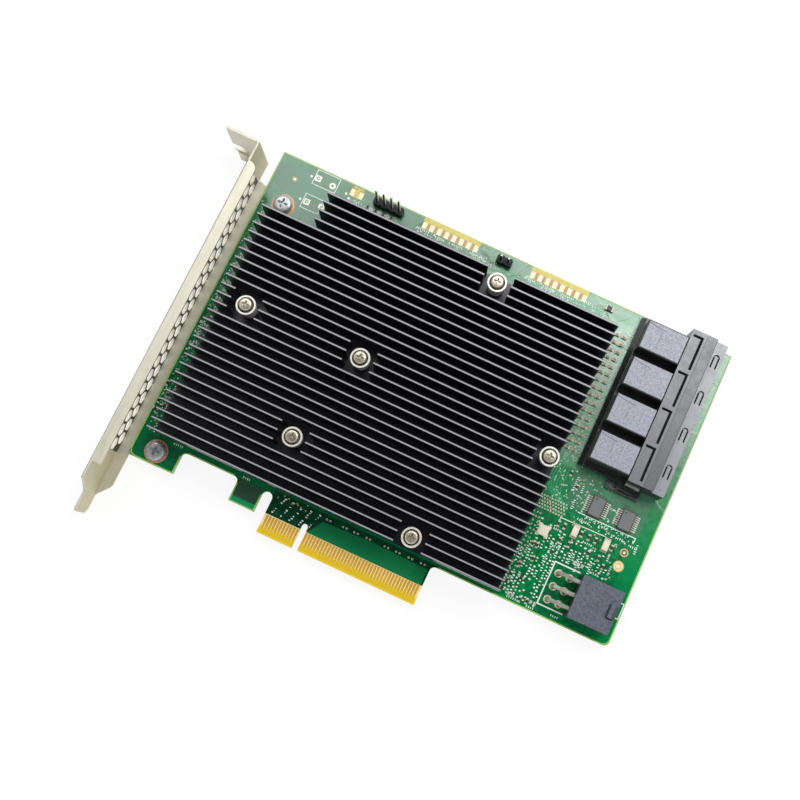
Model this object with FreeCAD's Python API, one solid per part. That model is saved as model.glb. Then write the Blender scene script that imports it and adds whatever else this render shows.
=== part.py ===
import FreeCAD, Part
import math
import os

# Internal storage controller card for a full-height expansion slot.
#
# Frame: origin where the centre of the key notch meets the lower edge of the edge
# connector, on the component side of the board.  +X runs along the card away from the
# slot bracket, +Y up the card, +Z out of the component side.  All sizes in millimetres.

V = FreeCAD.Vector

# ---------------------------------------------------------------- circuit board
board_length = 155.65
board_height = 111.15
board_thickness = 1.57
key_to_bracket_side = 57.95      # key notch centre to the board's bracket-side edge
board_corner = 2.0
right_edge_rise = 12.87          # lower edge of the long right part above the fingers
tab_drop = 5.0                   # lower edge of the bracket tab and of the hook tab
bracket_tab_length = 14.9
hook_start = 33.5                # both measured from the bracket-side edge
hook_length = 8.5
relief_top = 12.3                # top of the notch between the two tabs
relief_radius = 1.4
finger_start = 45.35             # first finger block, from the bracket-side edge
slit_top = 12.3                  # top of the slit beside the finger block
key_width = 1.9
key_depth = 8.3
long_block_length = 39.6         # key notch centre to the end of the long finger block
block_fillet = 1.6
bevel_rise = 0.5                 # bevel on the lower edge of the fingers
bevel_depth = 0.3

# ---------------------------------------------------------------- edge contacts
contact_pitch = 1.0
contact_width = 0.7
contact_length = 5.4
contact_foot = 0.6               # lower end of the contacts above the card edge
contact_to_key = 1.5             # first contact centre from the key notch centre
contacts_before_key = 11
contacts_after_key = 38
foil = 0.05                      # thickness of all exposed metal on the board
flats = 16                       # flats on small round pieces, few to keep the model light

# ---------------------------------------------------------------- slot bracket
sheet = 0.86
bracket_width = 18.42
bracket_front_z = 14.22          # component-side edge of the bracket
bracket_gap = 4.04               # board edge to the inside of the bracket face
bracket_top_gap = 4.25           # board top edge to the top of the screw flange
bracket_tip = -16.5              # end of the tongue
flange_length = 10.4
flange_slot_width = 4.2
flange_slot_depth = 4.5
flange_slot_edge = 2.1           # metal left between slot and the rear edge
flange_lip_start = 0.9           # small down-turned lip on the flange's rear edge
flange_lip_length = 6.4
flange_lip_depth = 2.0
flange_corner = 1.4
fold_radius = 0.6
front_lip_reach = 3.6            # outside of the face to the lip's free edge
rear_lip_reach = 4.3
lip_top_gap = 7.1                # top of the screw flange to the ends of both lips
front_lip_foot = -1.0
rear_lip_foot = -6.0
lip_corner = 2.6
tongue_width = 10.19
shoulder_top = -6.0
shoulder_foot = -10.0
tongue_corner = 1.6
vent_pitch = 4.6
vent_web = 0.86
vent_low_y = 6.0
vent_rear_clearance = 0.1        # lower vent corners to the inside of the rear lip

# ---------------------------------------------------------------- bracket screws
mount_screw_inset = 7.45         # screw centres from the bracket-side edge
mount_screw_low_gap = 4.11       # lower edge of the bracket tab to the lower screw
mount_screw_top_gap = 16.04      # board top edge to the upper screw
screw_thread_d = 3.0
screw_hole_clearance = 0.4
mount_head_d = 6.0
mount_head_height = 2.1
mount_head_crown = 0.7
screw_land_d = 7.2
screw_tip = 0.6                  # thread past the metal it is screwed into
cross_width = 0.8
cross_length = 2.6
cross_depth = 1.1
tab_width = 8.4

# ---------------------------------------------------------------- heatsink
sink_inset = 5.25                # from the bracket-side edge
sink_to_ports = 6.4              # end of the heatsink to the foot of the drive ports
sink_top_gap = 10.11             # board top edge to the centre of the top fin
sink_low_gap = 1.2               # least room from the board's long lower edge to the lowest fin
fin_pitch = 2.977
fin_top = 14.0
fin_tip_thickness = 0.62
fin_root_thickness = 0.95
sink_base_thickness = 1.5
pocket_width = 8.9
pocket_fins = 3
corner_fins = 4                  # fins cut short above the upper bracket screw
corner_cut = 16.15
chip_height = 1.9
pad_thickness = 0.3
chip_side = 25.0
chip_substrate = 0.9
chip_cap_inset = 1.5

# ---------------------------------------------------------------- spring screws
spring_head_d = 4.0
spring_head_height = 2.4
spring_head_crown = 0.4
cup_d = 6.1
cup_rim = 0.6
cup_floor = 0.6
cup_depth = 1.1
cup_top = 12.0
shank_clearance = 0.4
spring_wire = 0.5
spring_coil_d = 4.7
spring_turns = 4
spring_sides = 8                 # straight runs in one turn
nut_d = 5.2
nut_height = 1.4
# two spring screws hold each chip, each in the middle of a fin
chip1_screw_insets = (9.15, 39.15)   # from the heatsink's left end
chip1_screw_fins = (15, 5)           # counted up from the lowest fin
chip2_screw_insets = (46.95, 74.3)   # from the heatsink's left end
chip2_screw_fins = (14, 1)           # counted down from the top fin
chip3_screw_insets = (29.8, 2.8)     # from the heatsink's right end
chip3_screw_fins = (1, 14)           # counted up from the lowest fin

# ---------------------------------------------------------------- drive ports
port_count = 4
port_pitch = 12.43
port_top_gap = 7.75              # board top edge to the centre of the top port
port_width = 9.5
port_length = 13.4
port_height = 10.5
port_rear = 29.15                # board right edge to the rear of the port bodies
port_edge = 0.35                 # chamfer round the port tops
base_height = 3.2
base_rear_step = 1.6
base_side = 1.9                  # base past the outermost port bodies
foot_start = 8.9                 # low foot at the end of the base, from the rear of the bodies
foot_length = 10.8
foot_reach = 3.0
foot_height = 1.2
boss_start = 3.1                 # raised boss on the foot, from the start of the foot
boss_length = 5.4
boss_width = 2.1
boss_height = 2.4
shell_length = 12.2
shell_step = 8.2                 # length of the tall part of the shell
shell_lip_height = 8.0
shell_side = 1.4                 # shell past the outermost port bodies at the low end
shell_top_side = 2.95            # and at the high end
mouth_width = 9.3
mouth_floor = 1.3
mouth_height = 5.6
card_slot_width = 8.0
card_slot_height = 1.3
card_slot_depth = 8.0
latch_slit = 0.8
latch_slit_depth = 0.7
latch_start = 0.75               # slits from the rear of the shell
latch_length = 3.3
latch_up = 6.2                   # slits above and below the port centre
latch_down = 4.8
finger_slit = 0.45
finger_width = 2.0
finger_up = 3.9
finger_down = 0.6
finger_edge = 0.95               # slit's outer edge to the shell's front
port_contact_pitch = 0.8
port_contacts = 9
port_contact_width = 0.35
lead_foot = 0.75
lead_thickness = 0.15
hold_down_length = 4.6
hold_down_height = 3.3
hold_down_thickness = 0.5

# ---------------------------------------------------------------- power socket
power_front_gap = 3.0            # board right edge to the mouth of the power socket
power_length = 13.1
power_width = 13.4
power_height = 9.4
power_low_gap = 3.03             # board's long lower edge to the low side of the socket
power_pitch = 4.2
power_columns = 3
power_row_low = 2.7
power_row_high = 6.9
cavity_side = 3.3
cavity_depth = 10.2
cavity_corner = 0.7
power_pin = 1.1
power_pin_reach = 8.4            # pins inside the cavities
power_tail_high = 6.3            # rear of the socket to the outer row of tails
power_tail_low = 2.6
keeper_width = 4.0
keeper_length = 2.4
keeper_height = 0.9
solder_d = 2.2
solder_height = 1.2

# ---------------------------------------------------------------- jumpers and pads
header_pitch = 2.54
header_base_height = 2.5
header_width = 2.5
header_pin = 0.64
# along the top edge, one after the other: pad pair, header, pads, header, pads
pair_pad_inset = 25.33           # first pad from the bracket-side edge
pair_pad_spacing = 2.84
pair_to_jumper4 = 5.87
jumper4_to_strip = 8.82
strip_to_jumper2 = 8.64
jumper2_to_strip = 8.66
strip_pads = 8
strip_pad_width = 1.4
strip_pad_length = 2.2
pad_top_gap = 2.85               # board top edge to the pads and headers
jumper4_pins = 4
jumper4_top_gap = 2.65
jumper4_top = 11.7
jumper2_pins = 2
jumper2_top_gap = 3.0
jumper2_top = 6.0
test_pad_d = 3.4
test_pad_inset = 6.6             # from the board right edge
test_pad_spacing = 4.5

# ---------------------------------------------------------------- small parts
# test pads and chips share the free room between the power socket and the ports' foot
room_below_pads = 0.42
room_below_ics = 0.33
ic_body = (4.4, 6.5, 1.0)
ic_insets = (19.85, 9.9)         # from the board right edge
ic_leads = 8
ic_lead_pitch = 0.65
ic_lead_width = 0.25
ic_lead_reach = 1.0
ic_standoff = 0.1
clock_size = (3.4, 3.2, 0.9)
clock_inset = 31.86              # from the board right edge
clock_drop = 1.95                # below the middle of the test pads
large_part = (2.0, 3.6, 1.5)
large_insets = (22.95, 12.75)
chip_part = (1.6, 0.8, 0.7)
chip_cap_column_inset = 35.7     # first column, from the board right edge
chip_cap_columns = 2
chip_cap_column_step = 2.4
chip_cap_rows = 16
chip_cap_row_step = 2.6
chip_cap_rise = 3.54             # low side of the port base to the first row
row_part = (0.9, 1.7, 0.5)       # two rows of parts turned across the card
upper_row_rise = 1.9             # above the middle of the test pads
upper_row_insets = (28.4, 26.4, 20.8, 18.3, 16.1, 10.6)
lower_row_drop = 2.6             # below the middle of the test pads
lower_row_insets = (26.1, 23.0, 16.5, 13.1)

# ---------------------------------------------------------------- derived places
board_left = -key_to_bracket_side
board_right = board_left + board_length
board_back = -board_thickness
bracket_in = board_left - bracket_gap
bracket_out = bracket_in - sheet
bracket_rear_z = bracket_front_z - bracket_width
bracket_top = board_height - bracket_top_gap
lip_top = bracket_top - lip_top_gap
vent_rows = int((lip_top - vent_low_y) / vent_pitch) + 1
mount_screw_x = board_left + mount_screw_inset
mount_screw_ys = (tab_drop + mount_screw_low_gap, board_height - mount_screw_top_gap)
screw_hole_d = screw_thread_d + screw_hole_clearance
sink_left = board_left + sink_inset
top_fin_y = board_height - sink_top_gap
fin_count = int((top_fin_y - right_edge_rise - sink_low_gap) / fin_pitch) + 1
low_fin_y = top_fin_y - (fin_count - 1) * fin_pitch
sink_base_z = chip_height + pad_thickness
sink_deck_z = sink_base_z + sink_base_thickness
cup_floor_z = cup_top - cup_depth
cup_base_z = cup_floor_z - cup_floor
port_back = board_right - port_rear
sink_right = port_back - base_rear_step - sink_to_ports
shell_back = port_back + port_length
shell_front = shell_back + shell_length
port_ys = [board_height - port_top_gap - i * port_pitch for i in range(port_count)]
base_low = port_ys[-1] - port_width / 2 - base_side
shell_low = port_ys[-1] - port_width / 2 - shell_side
hold_down_low = shell_low - hold_down_thickness
foot_x = port_back + foot_start
pad_y = board_height - pad_top_gap
jumper4_inset = pair_pad_inset + pair_pad_spacing + pair_to_jumper4
strip_a_inset = jumper4_inset + (jumper4_pins - 1) * header_pitch + jumper4_to_strip
jumper2_inset = strip_a_inset + (strip_pads - 1) * header_pitch + strip_to_jumper2
strip_b_inset = jumper2_inset + (jumper2_pins - 1) * header_pitch + jumper2_to_strip
jumper4_y = board_height - jumper4_top_gap
jumper2_y = board_height - jumper2_top_gap
headers = [(jumper4_inset, jumper4_y, jumper4_pins), (jumper2_inset, jumper2_y, jumper2_pins)]
power_front = board_right - power_front_gap
power_back = power_front - power_length
power_low = right_edge_rise + power_low_gap
power_high = power_low + power_width
power_centre_y = (power_low + power_high) / 2
test_pads_height = test_pad_spacing + test_pad_d
free_room = base_low - foot_reach - power_high - test_pads_height - ic_body[1]
test_pad_y = power_high + room_below_pads * free_room + test_pads_height / 2
ic_low = test_pad_y + test_pads_height / 2 + room_below_ics * free_room
ic_y = ic_low + ic_body[1] / 2
clock_y = test_pad_y - clock_drop
upper_row_y = test_pad_y + upper_row_rise
lower_row_y = test_pad_y - lower_row_drop


def box(x0, x1, y0, y1, z0, z1):
    """Box between two opposite corners."""
    return Part.makeBox(x1 - x0, y1 - y0, z1 - z0, V(x0, y0, z0))


def ring(x, y, z, r, sides):
    """Corners of a regular polygon round an upright axis."""
    turns = [2 * math.pi * k / sides for k in range(sides)]
    return [V(x + r * math.cos(t), y + r * math.sin(t), z) for t in turns]


def rod(x, y, z0, z1, d, sides=flats):
    """Upright bar of a small round or many-sided piece."""
    return sheet_prism(ring(x, y, z0, d / 2, sides), V(0, 0, z1 - z0))


def sheet_prism(points, push):
    """Closed polygon pushed along a vector."""
    return Part.Face(Part.makePolygon(points + [points[0]])).extrude(push)


def turned(x, y, profile, sides=flats):
    """Solid turned in flats about an upright axis, from (radius, height) points."""
    rings = []
    for r, z in profile:
        rings.append([V(x, y, z)] * sides if r == 0 else ring(x, y, z, r, sides))
    faces = []
    for lower, upper in zip(rings, rings[1:] + rings[:1]):
        for k in range(sides):
            corners = [lower[k], lower[k - 1], upper[k - 1], upper[k]]
            corners = [c for i, c in enumerate(corners) if (c - corners[i - 1]).Length > 1e-6]
            if len(corners) > 2:
                faces.append(Part.Face(Part.makePolygon(corners + [corners[0]])))
    solid = Part.makeSolid(Part.makeShell(faces))
    return solid.removeSplitter()


def joined(shapes):
    """One solid from shapes that overlap or share faces."""
    return shapes[0].multiFuse(shapes[1:]).removeSplitter()


def upright_edges(shape, x, y):
    """Edges of a shape that run along Z through one place."""
    found = []
    for edge in shape.Edges:
        ends = [v.Point for v in edge.Vertexes]
        if all(abs(p.x - x) < 1e-4 and abs(p.y - y) < 1e-4 for p in ends):
            found.append(edge)
    return found


def rounded_corners(shape, places, radius):
    """Fillet the upright edges that stand at the given places."""
    edges = []
    for x, y in places:
        edges += upright_edges(shape, x, y)
    return shape.makeFillet(radius, edges)


def save(name, shapes):
    """Write one solid, or a group of separate solids, as a named part."""
    shape = Part.makeCompound(shapes) if isinstance(shapes, list) else shapes
    shape.exportStep("parts/" + name + ".step")


def screw_axes():
    """Centres of the six spring screws, two to a chip, each in the middle of a fin."""
    chip1 = zip(chip1_screw_insets, chip1_screw_fins)
    chip2 = zip(chip2_screw_insets, chip2_screw_fins)
    chip3 = zip(chip3_screw_insets, chip3_screw_fins)
    return [
        [(sink_left + inset, low_fin_y + fin * fin_pitch) for inset, fin in chip1],
        [(sink_left + inset, top_fin_y - fin * fin_pitch) for inset, fin in chip2],
        [(sink_right - inset, low_fin_y + fin * fin_pitch) for inset, fin in chip3],
    ]


def chip_centres():
    """Each chip sits midway between its two spring screws."""
    return [((a[0] + b[0]) / 2, (a[1] + b[1]) / 2) for a, b in screw_axes()]


def contact_xs():
    """Centres of the edge contacts, before and after the key notch."""
    before = [-contact_to_key - i * contact_pitch for i in range(contacts_before_key)]
    after = [contact_to_key + i * contact_pitch for i in range(contacts_after_key)]
    return before + after


def power_pin_places():
    """(y, height, tail x) of each pin of the power socket."""
    places = []
    for i in range(power_columns):
        y = power_centre_y + (i - (power_columns - 1) / 2) * power_pitch
        places.append((y, power_row_low, power_back - power_tail_low))
        places.append((y, power_row_high, power_back - power_tail_high))
    return places


def header_xs(inset, count):
    """Pin centres of a pin header that runs along the board's top edge."""
    return [board_left + inset + i * header_pitch for i in range(count)]


# ---------------------------------------------------------------- board
def board_outline():
    """Board plate with its tabs, slit, key notch and raised right part."""
    hook_left = board_left + hook_start
    hook_right = hook_left + hook_length
    block_left = board_left + finger_start
    tab_right = board_left + bracket_tab_length
    outline = [
        V(board_left, board_height, 0),
        V(board_left, tab_drop, 0),
        V(tab_right, tab_drop, 0),
        V(tab_right, relief_top, 0),
        V(hook_left, relief_top, 0),
        V(hook_left, tab_drop, 0),
        V(hook_right, tab_drop, 0),
        V(hook_right, slit_top, 0),
        V(block_left, slit_top, 0),
        V(block_left, 0, 0),
        V(long_block_length, 0, 0),
        V(long_block_length, right_edge_rise, 0),
        V(board_right, right_edge_rise, 0),
        V(board_right, board_height, 0),
    ]
    plate = sheet_prism(outline, V(0, 0, -board_thickness))
    plate = rounded_corners(plate, [(board_left, tab_drop), (board_right, right_edge_rise)], board_corner)
    plate = rounded_corners(plate, [(tab_right, relief_top), (hook_left, relief_top)], relief_radius)
    slit_radius = (block_left - hook_right) / 2 - 0.01
    plate = rounded_corners(plate, [(hook_right, slit_top), (block_left, slit_top)], slit_radius)
    return rounded_corners(plate, [(long_block_length, right_edge_rise)], block_fillet)


def key_notch():
    """Round-topped slot in the finger block."""
    radius = key_width / 2
    slot = box(-radius, radius, -1, key_depth - radius, board_back - 1, 1)
    return slot.fuse(rod(0, key_depth - radius, board_back - 1, 1, key_width))


def finger_bevels():
    """Wedges that bevel both lower edges of the finger block."""
    start = board_left + finger_start - 1
    length = V(long_block_length - start + 1, 0, 0)
    front = [V(start, 0, 0), V(start, bevel_rise, 0), V(start, 0, -bevel_depth)]
    back = [V(start, 0, board_back), V(start, bevel_rise, board_back), V(start, 0, board_back + bevel_depth)]
    return [sheet_prism(front, length), sheet_prism(back, length)]


def make_board():
    cuts = [key_notch()] + finger_bevels()
    for y in mount_screw_ys:
        cuts.append(rod(mount_screw_x, y, board_back - 1, 1, screw_hole_d))
    for pair in screw_axes():
        for x, y in pair:
            cuts.append(rod(x, y, board_back - 1, 1, screw_thread_d + shank_clearance))
    for y, height, x in power_pin_places():
        half = power_pin / 2
        cuts.append(box(x - half, x + half, y - half, y + half, board_back - 1, 1))
    for inset, y, count in headers:
        half = header_pin / 2
        for x in header_xs(inset, count):
            cuts.append(box(x - half, x + half, y - half, y + half, board_back - 1, 1))
    return board_outline().cut(cuts)


def make_contacts(z0, z1):
    """Gold contacts of one side of the edge connector."""
    half = contact_width / 2
    top = contact_foot + contact_length
    return [box(x - half, x + half, contact_foot, top, z0, z1) for x in contact_xs()]


def make_pads():
    """Bare gold pads: two rows along the top edge, a pair and two round test pads."""
    pads = []
    xs = [board_left + pair_pad_inset + i * pair_pad_spacing for i in range(2)]
    for inset in (strip_a_inset, strip_b_inset):
        xs += [board_left + inset + i * header_pitch for i in range(strip_pads)]
    for x in xs:
        pads.append(box(x - strip_pad_width / 2, x + strip_pad_width / 2,
                        pad_y - strip_pad_length / 2, pad_y + strip_pad_length / 2, 0, foil))
    for side in (-1, 1):
        y = test_pad_y + side * test_pad_spacing / 2
        pads.append(rod(board_right - test_pad_inset, y, 0, foil, test_pad_d))
    return pads


def make_screw_lands():
    """Ring of bare metal under each bracket screw."""
    lands = []
    for y in mount_screw_ys:
        land = rod(mount_screw_x, y, 0, foil, screw_land_d)
        lands.append(land.cut(rod(mount_screw_x, y, -1, 1, screw_hole_d)))
    return lands


# ---------------------------------------------------------------- bracket
def bracket_face():
    """Flat face with shoulders and tongue, seen along X."""
    tongue_front = bracket_rear_z + tongue_width
    x = bracket_out
    outline = [
        V(x, bracket_top - sheet, bracket_rear_z),
        V(x, bracket_top - sheet, bracket_front_z),
        V(x, shoulder_top, bracket_front_z),
        V(x, shoulder_foot, tongue_front),
        V(x, bracket_tip + tongue_corner / 2, tongue_front),
        V(x, bracket_tip, tongue_front - tongue_corner / 2),
        V(x, bracket_tip, bracket_rear_z + tongue_corner),
        V(x, bracket_tip + tongue_corner, bracket_rear_z),
    ]
    return sheet_prism(outline, V(sheet, 0, 0))


def front_lip():
    """Inward fold along the component-side edge, round at its upper end."""
    free = bracket_out + front_lip_reach
    lip = box(bracket_out, free, front_lip_foot, lip_top, bracket_front_z - sheet, bracket_front_z)
    return rounded_corners(lip, [(free, lip_top)], lip_corner)


def rear_lip():
    """Inward fold along the solder-side edge, tapering into the tongue."""
    free = bracket_out + rear_lip_reach
    z = bracket_rear_z
    outline = [
        V(bracket_out, rear_lip_foot - rear_lip_reach, z),
        V(bracket_out + sheet, rear_lip_foot - rear_lip_reach, z),
        V(free, rear_lip_foot, z),
        V(free, lip_top, z),
        V(bracket_out, lip_top, z),
    ]
    lip = sheet_prism(outline, V(0, 0, sheet))
    return rounded_corners(lip, [(free, lip_top), (free, rear_lip_foot)], lip_corner)


def screw_flange():
    """Outward flange with an open slot for the chassis screw."""
    end = bracket_out - flange_length
    low = bracket_top - sheet
    outline = [
        V(bracket_in, low, bracket_rear_z),
        V(bracket_in, low, bracket_front_z),
        V(end, low, bracket_front_z),
        V(end, low, bracket_rear_z + flange_corner),
        V(end + flange_corner, low, bracket_rear_z),
    ]
    flange = sheet_prism(outline, V(0, sheet, 0))
    radius = flange_slot_width / 2
    z = bracket_rear_z + flange_slot_edge + radius
    root = end + flange_slot_depth - radius
    slot = box(end - 1, root, low - 1, bracket_top + 1, z - radius, z + radius)
    round_end = rod(0, 0, 0, sheet + 2, flange_slot_width)
    round_end.rotate(V(0, 0, 0), V(1, 0, 0), -90)
    round_end.translate(V(root, low - 1, z))
    fold = [e for e in flange.Edges if all(abs(v.Point.x - bracket_in) < 1e-4 and
            abs(v.Point.y - bracket_top) < 1e-4 for v in e.Vertexes)]
    return flange.makeFillet(fold_radius, fold).cut([slot, round_end])


def flange_lip():
    """Shallow lip turned down from the rear edge of the flange."""
    start = bracket_out - flange_length + flange_lip_start
    end = start + flange_lip_length
    top = bracket_top - sheet
    low = top - flange_lip_depth
    slope = flange_lip_depth
    z = bracket_rear_z
    outline = [V(start, top, z), V(start + slope, low, z), V(end - slope, low, z), V(end, top, z)]
    return sheet_prism(outline, V(0, 0, sheet))


def board_tab(y):
    """Ear that steps up from the rear lip to the back of the board."""
    half = tab_width / 2
    root = bracket_out + rear_lip_reach - sheet
    step = board_back - sheet - bracket_rear_z
    z0 = bracket_rear_z
    end = mount_screw_x + half
    side = [
        V(root, y - half, z0),
        V(root + sheet, y - half, z0),
        V(root + sheet + step, y - half, z0 + step),
        V(end, y - half, z0 + step),
        V(end, y - half, z0 + step + sheet),
        V(root + sheet + step, y - half, z0 + step + sheet),
        V(root + sheet, y - half, z0 + sheet),
        V(root, y - half, z0 + sheet),
    ]
    strip = sheet_prism(side, V(0, tab_width, 0))
    corners = upright_edges(strip, end, y - half) + upright_edges(strip, end, y + half)
    return strip.makeChamfer(half / 2, corners).cut(rod(mount_screw_x, y, z0 - 1, 1, screw_thread_d))


def vents():
    """Two staggered columns of six-sided vent holes in the bracket face."""
    corner = (vent_pitch - vent_web) / (2 * math.cos(math.pi / 6))
    rear_z = bracket_rear_z + sheet + vent_rear_clearance + corner
    columns = [(rear_z + vent_pitch * math.cos(math.pi / 6), vent_low_y, vent_rows),
               (rear_z, vent_low_y + vent_pitch / 2, vent_rows - 1)]
    holes = []
    for z, first, count in columns:
        for i in range(count):
            y = first + i * vent_pitch
            points = []
            for k in range(6):
                angle = math.radians(60 * k)
                points.append(V(bracket_out - 1, y + corner * math.sin(angle), z + corner * math.cos(angle)))
            holes.append(sheet_prism(points, V(sheet + 2, 0, 0)))
    return Part.makeCompound(holes)


def folded_channel():
    """Face and both lips, rounded along the two long folds."""
    channel = joined([bracket_face(), front_lip(), rear_lip()])
    folds = []
    for edge in channel.Edges:
        ends = [v.Point for v in edge.Vertexes]
        outer = all(abs(p.x - bracket_out) < 1e-4 for p in ends)
        side = all(abs(p.z - ends[0].z) < 1e-4 for p in ends)
        inner_z = bracket_rear_z < ends[0].z - 1e-4 and ends[0].z < bracket_front_z - 1e-4
        if outer and side and not inner_z and edge.Length > lip_top:
            folds.append(edge)
    return channel.makeFillet(fold_radius, folds)


def make_bracket():
    pieces = [folded_channel(), screw_flange(), flange_lip()]
    pieces += [board_tab(y) for y in mount_screw_ys]
    return joined(pieces).cut(vents())


def cross_recess(x, y, top):
    """Cross cut for the driver."""
    arms = []
    for along_x in (True, False):
        long_half = cross_length / 2
        thin_half = cross_width / 2
        a, b = (long_half, thin_half) if along_x else (thin_half, long_half)
        arms.append(box(x - a, x + a, y - b, y + b, top - cross_depth, top + 1))
    return arms


def make_bracket_screws():
    """Pan-head screws that hold the board to the bracket's ears."""
    screws = []
    r = mount_head_d / 2
    tip = board_back - sheet - screw_tip
    for y in mount_screw_ys:
        profile = [
            (0, tip),
            (screw_thread_d / 2, tip),
            (screw_thread_d / 2, foil),
            (r, foil),
            (r, foil + mount_head_height - mount_head_crown),
            (r - mount_head_crown, foil + mount_head_height),
            (0, foil + mount_head_height),
        ]
        screw = turned(mount_screw_x, y, profile)
        screws.append(screw.cut(cross_recess(mount_screw_x, y, foil + mount_head_height)))
    return screws


# ---------------------------------------------------------------- heatsink
def fin_comb():
    """Base and fins as one drawn section, pushed along the card."""
    tip = fin_tip_thickness / 2
    root = fin_root_thickness / 2
    top = top_fin_y + root
    low = low_fin_y - root
    points = [V(sink_left, low, sink_base_z), V(sink_left, low, sink_deck_z)]
    for i in reversed(range(fin_count)):
        y = top_fin_y - i * fin_pitch
        if i < fin_count - 1:
            points.append(V(sink_left, y - root, sink_deck_z))
        points.append(V(sink_left, y - tip, fin_top))
        points.append(V(sink_left, y + tip, fin_top))
        points.append(V(sink_left, y + root, sink_deck_z))
    points.append(V(sink_left, top, sink_base_z))
    return sheet_prism(points, V(sink_right - sink_left, 0, 0))


def make_heatsink():
    cuts = []
    half_fins = pocket_fins * fin_pitch / 2
    hole_d = screw_thread_d + shank_clearance
    for pair in screw_axes():
        for x, y in pair:
            cuts.append(box(x - pocket_width / 2, x + pocket_width / 2, y - half_fins, y + half_fins,
                            sink_deck_z, fin_top + 1))
            cuts.append(rod(x, y, sink_base_z - 1, sink_deck_z + 1, hole_d))
    corner_y = top_fin_y - (corner_fins - 0.5) * fin_pitch
    cuts.append(box(sink_left - 1, sink_left + corner_cut, corner_y, board_height, sink_base_z - 1, fin_top + 1))
    return fin_comb().cut(cuts)


def make_chip(x, y):
    """Flat package: wide substrate with a moulded cap."""
    half = chip_side / 2
    cap = half - chip_cap_inset
    substrate = box(x - half, x + half, y - half, y + half, 0, chip_substrate)
    mould = box(x - cap, x + cap, y - cap, y + cap, chip_substrate, chip_height)
    return joined([substrate, mould])


def make_thermal_pad(x, y):
    """Soft pad between a chip and the heatsink."""
    half = chip_side / 2 - 2 * chip_cap_inset
    return box(x - half, x + half, y - half, y + half, chip_height, sink_base_z)


# ---------------------------------------------------------------- spring screws
def make_spring_screw(x, y):
    """Shouldered screw whose head sits in the spring cup."""
    r = spring_head_d / 2
    shank = screw_thread_d / 2
    tip = board_back - nut_height
    head_z = cup_floor_z + spring_head_height
    profile = [
        (0, tip),
        (shank, tip),
        (shank, cup_floor_z),
        (r, cup_floor_z),
        (r, head_z - spring_head_crown),
        (r - spring_head_crown, head_z),
        (0, head_z),
    ]
    return turned(x, y, profile).cut(cross_recess(x, y, head_z))


def make_cup(x, y):
    """Turned cup that carries the screw head and presses on the spring."""
    r = cup_d / 2
    hole = screw_thread_d / 2 + shank_clearance / 2
    profile = [
        (hole, cup_base_z),
        (r, cup_base_z),
        (r, cup_top),
        (r - cup_rim, cup_top),
        (r - cup_rim, cup_floor_z),
        (hole, cup_floor_z),
    ]
    return turned(x, y, profile)


def make_spring(x, y):
    """Coil spring of square wire in short straight runs, between the heatsink base and the cup."""
    low = sink_deck_z + spring_wire / 2
    rise = cup_base_z - sink_deck_z - spring_wire
    half = spring_wire / 2
    runs = spring_turns * spring_sides
    sections = []
    for k in range(runs + 1):
        turn = V(math.cos(2 * math.pi * k / spring_sides), math.sin(2 * math.pi * k / spring_sides), 0)
        centre = V(x, y, low + rise * k / runs)
        inner = centre + turn * (spring_coil_d / 2 - half)
        outer = centre + turn * (spring_coil_d / 2 + half)
        up = V(0, 0, half)
        sections.append([inner - up, outer - up, outer + up, inner + up])
    faces = [Part.Face(Part.makePolygon(end + [end[0]])) for end in (sections[0], sections[-1])]
    for first, second in zip(sections, sections[1:]):
        for k in range(4):
            a, b, c, d = first[k - 1], first[k], second[k], second[k - 1]
            faces.append(Part.Face(Part.makePolygon([a, b, c, a])))
            faces.append(Part.Face(Part.makePolygon([a, c, d, a])))
    return Part.makeSolid(Part.makeShell(faces))


def make_nut(x, y):
    """Six-sided press nut on the back of the board."""
    nut = rod(x, y, board_back - nut_height, board_back, nut_d, 6)
    return nut.cut(rod(x, y, board_back - nut_height - 1, board_back + 1, screw_thread_d))


# ---------------------------------------------------------------- drive ports
def make_port(y):
    """Moulded port body behind the shell, with the slot for the plug's blade."""
    half = port_width / 2
    body = box(port_back, shell_back, y - half, y + half, base_height, port_height)
    top = [e for e in body.Edges if all(abs(v.Point.z - port_height) < 1e-4 for v in e.Vertexes)]
    body = body.makeChamfer(port_edge, top)
    z = mouth_floor + mouth_height / 2 + base_height / 2
    slot = box(shell_back - card_slot_depth, shell_back + 1, y - card_slot_width / 2, y + card_slot_width / 2,
               z - card_slot_height / 2, z + card_slot_height / 2)
    return body.cut(slot)


def make_port_base():
    """Low moulded tray that carries the four port bodies, with a foot at its low end."""
    high = port_ys[0] + port_width / 2 + base_side
    tray = box(port_back - base_rear_step, shell_back, base_low, high, 0, base_height)
    edge = [e for e in tray.Edges if all(abs(v.Point.z - base_height) < 1e-4 and
            abs(v.Point.x - port_back + base_rear_step) < 1e-4 for v in e.Vertexes)]
    tray = tray.makeChamfer(base_rear_step * 0.9, edge)
    foot = box(foot_x, foot_x + foot_length, base_low - foot_reach, base_low, 0, foot_height)
    boss_x = foot_x + boss_start
    boss = box(boss_x, boss_x + boss_length, base_low - boss_width, base_low, 0, boss_height)
    return joined([tray, foot, boss])


def shell_body():
    """Stepped front shell seen along Y."""
    high = port_ys[0] + port_width / 2 + shell_top_side
    step = shell_back + shell_step
    side = [
        V(shell_back, shell_low, 0),
        V(shell_front, shell_low, 0),
        V(shell_front, shell_low, shell_lip_height),
        V(step, shell_low, shell_lip_height),
        V(step, shell_low, port_height),
        V(shell_back, shell_low, port_height),
    ]
    return sheet_prism(side, V(0, high - shell_low, 0))


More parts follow.
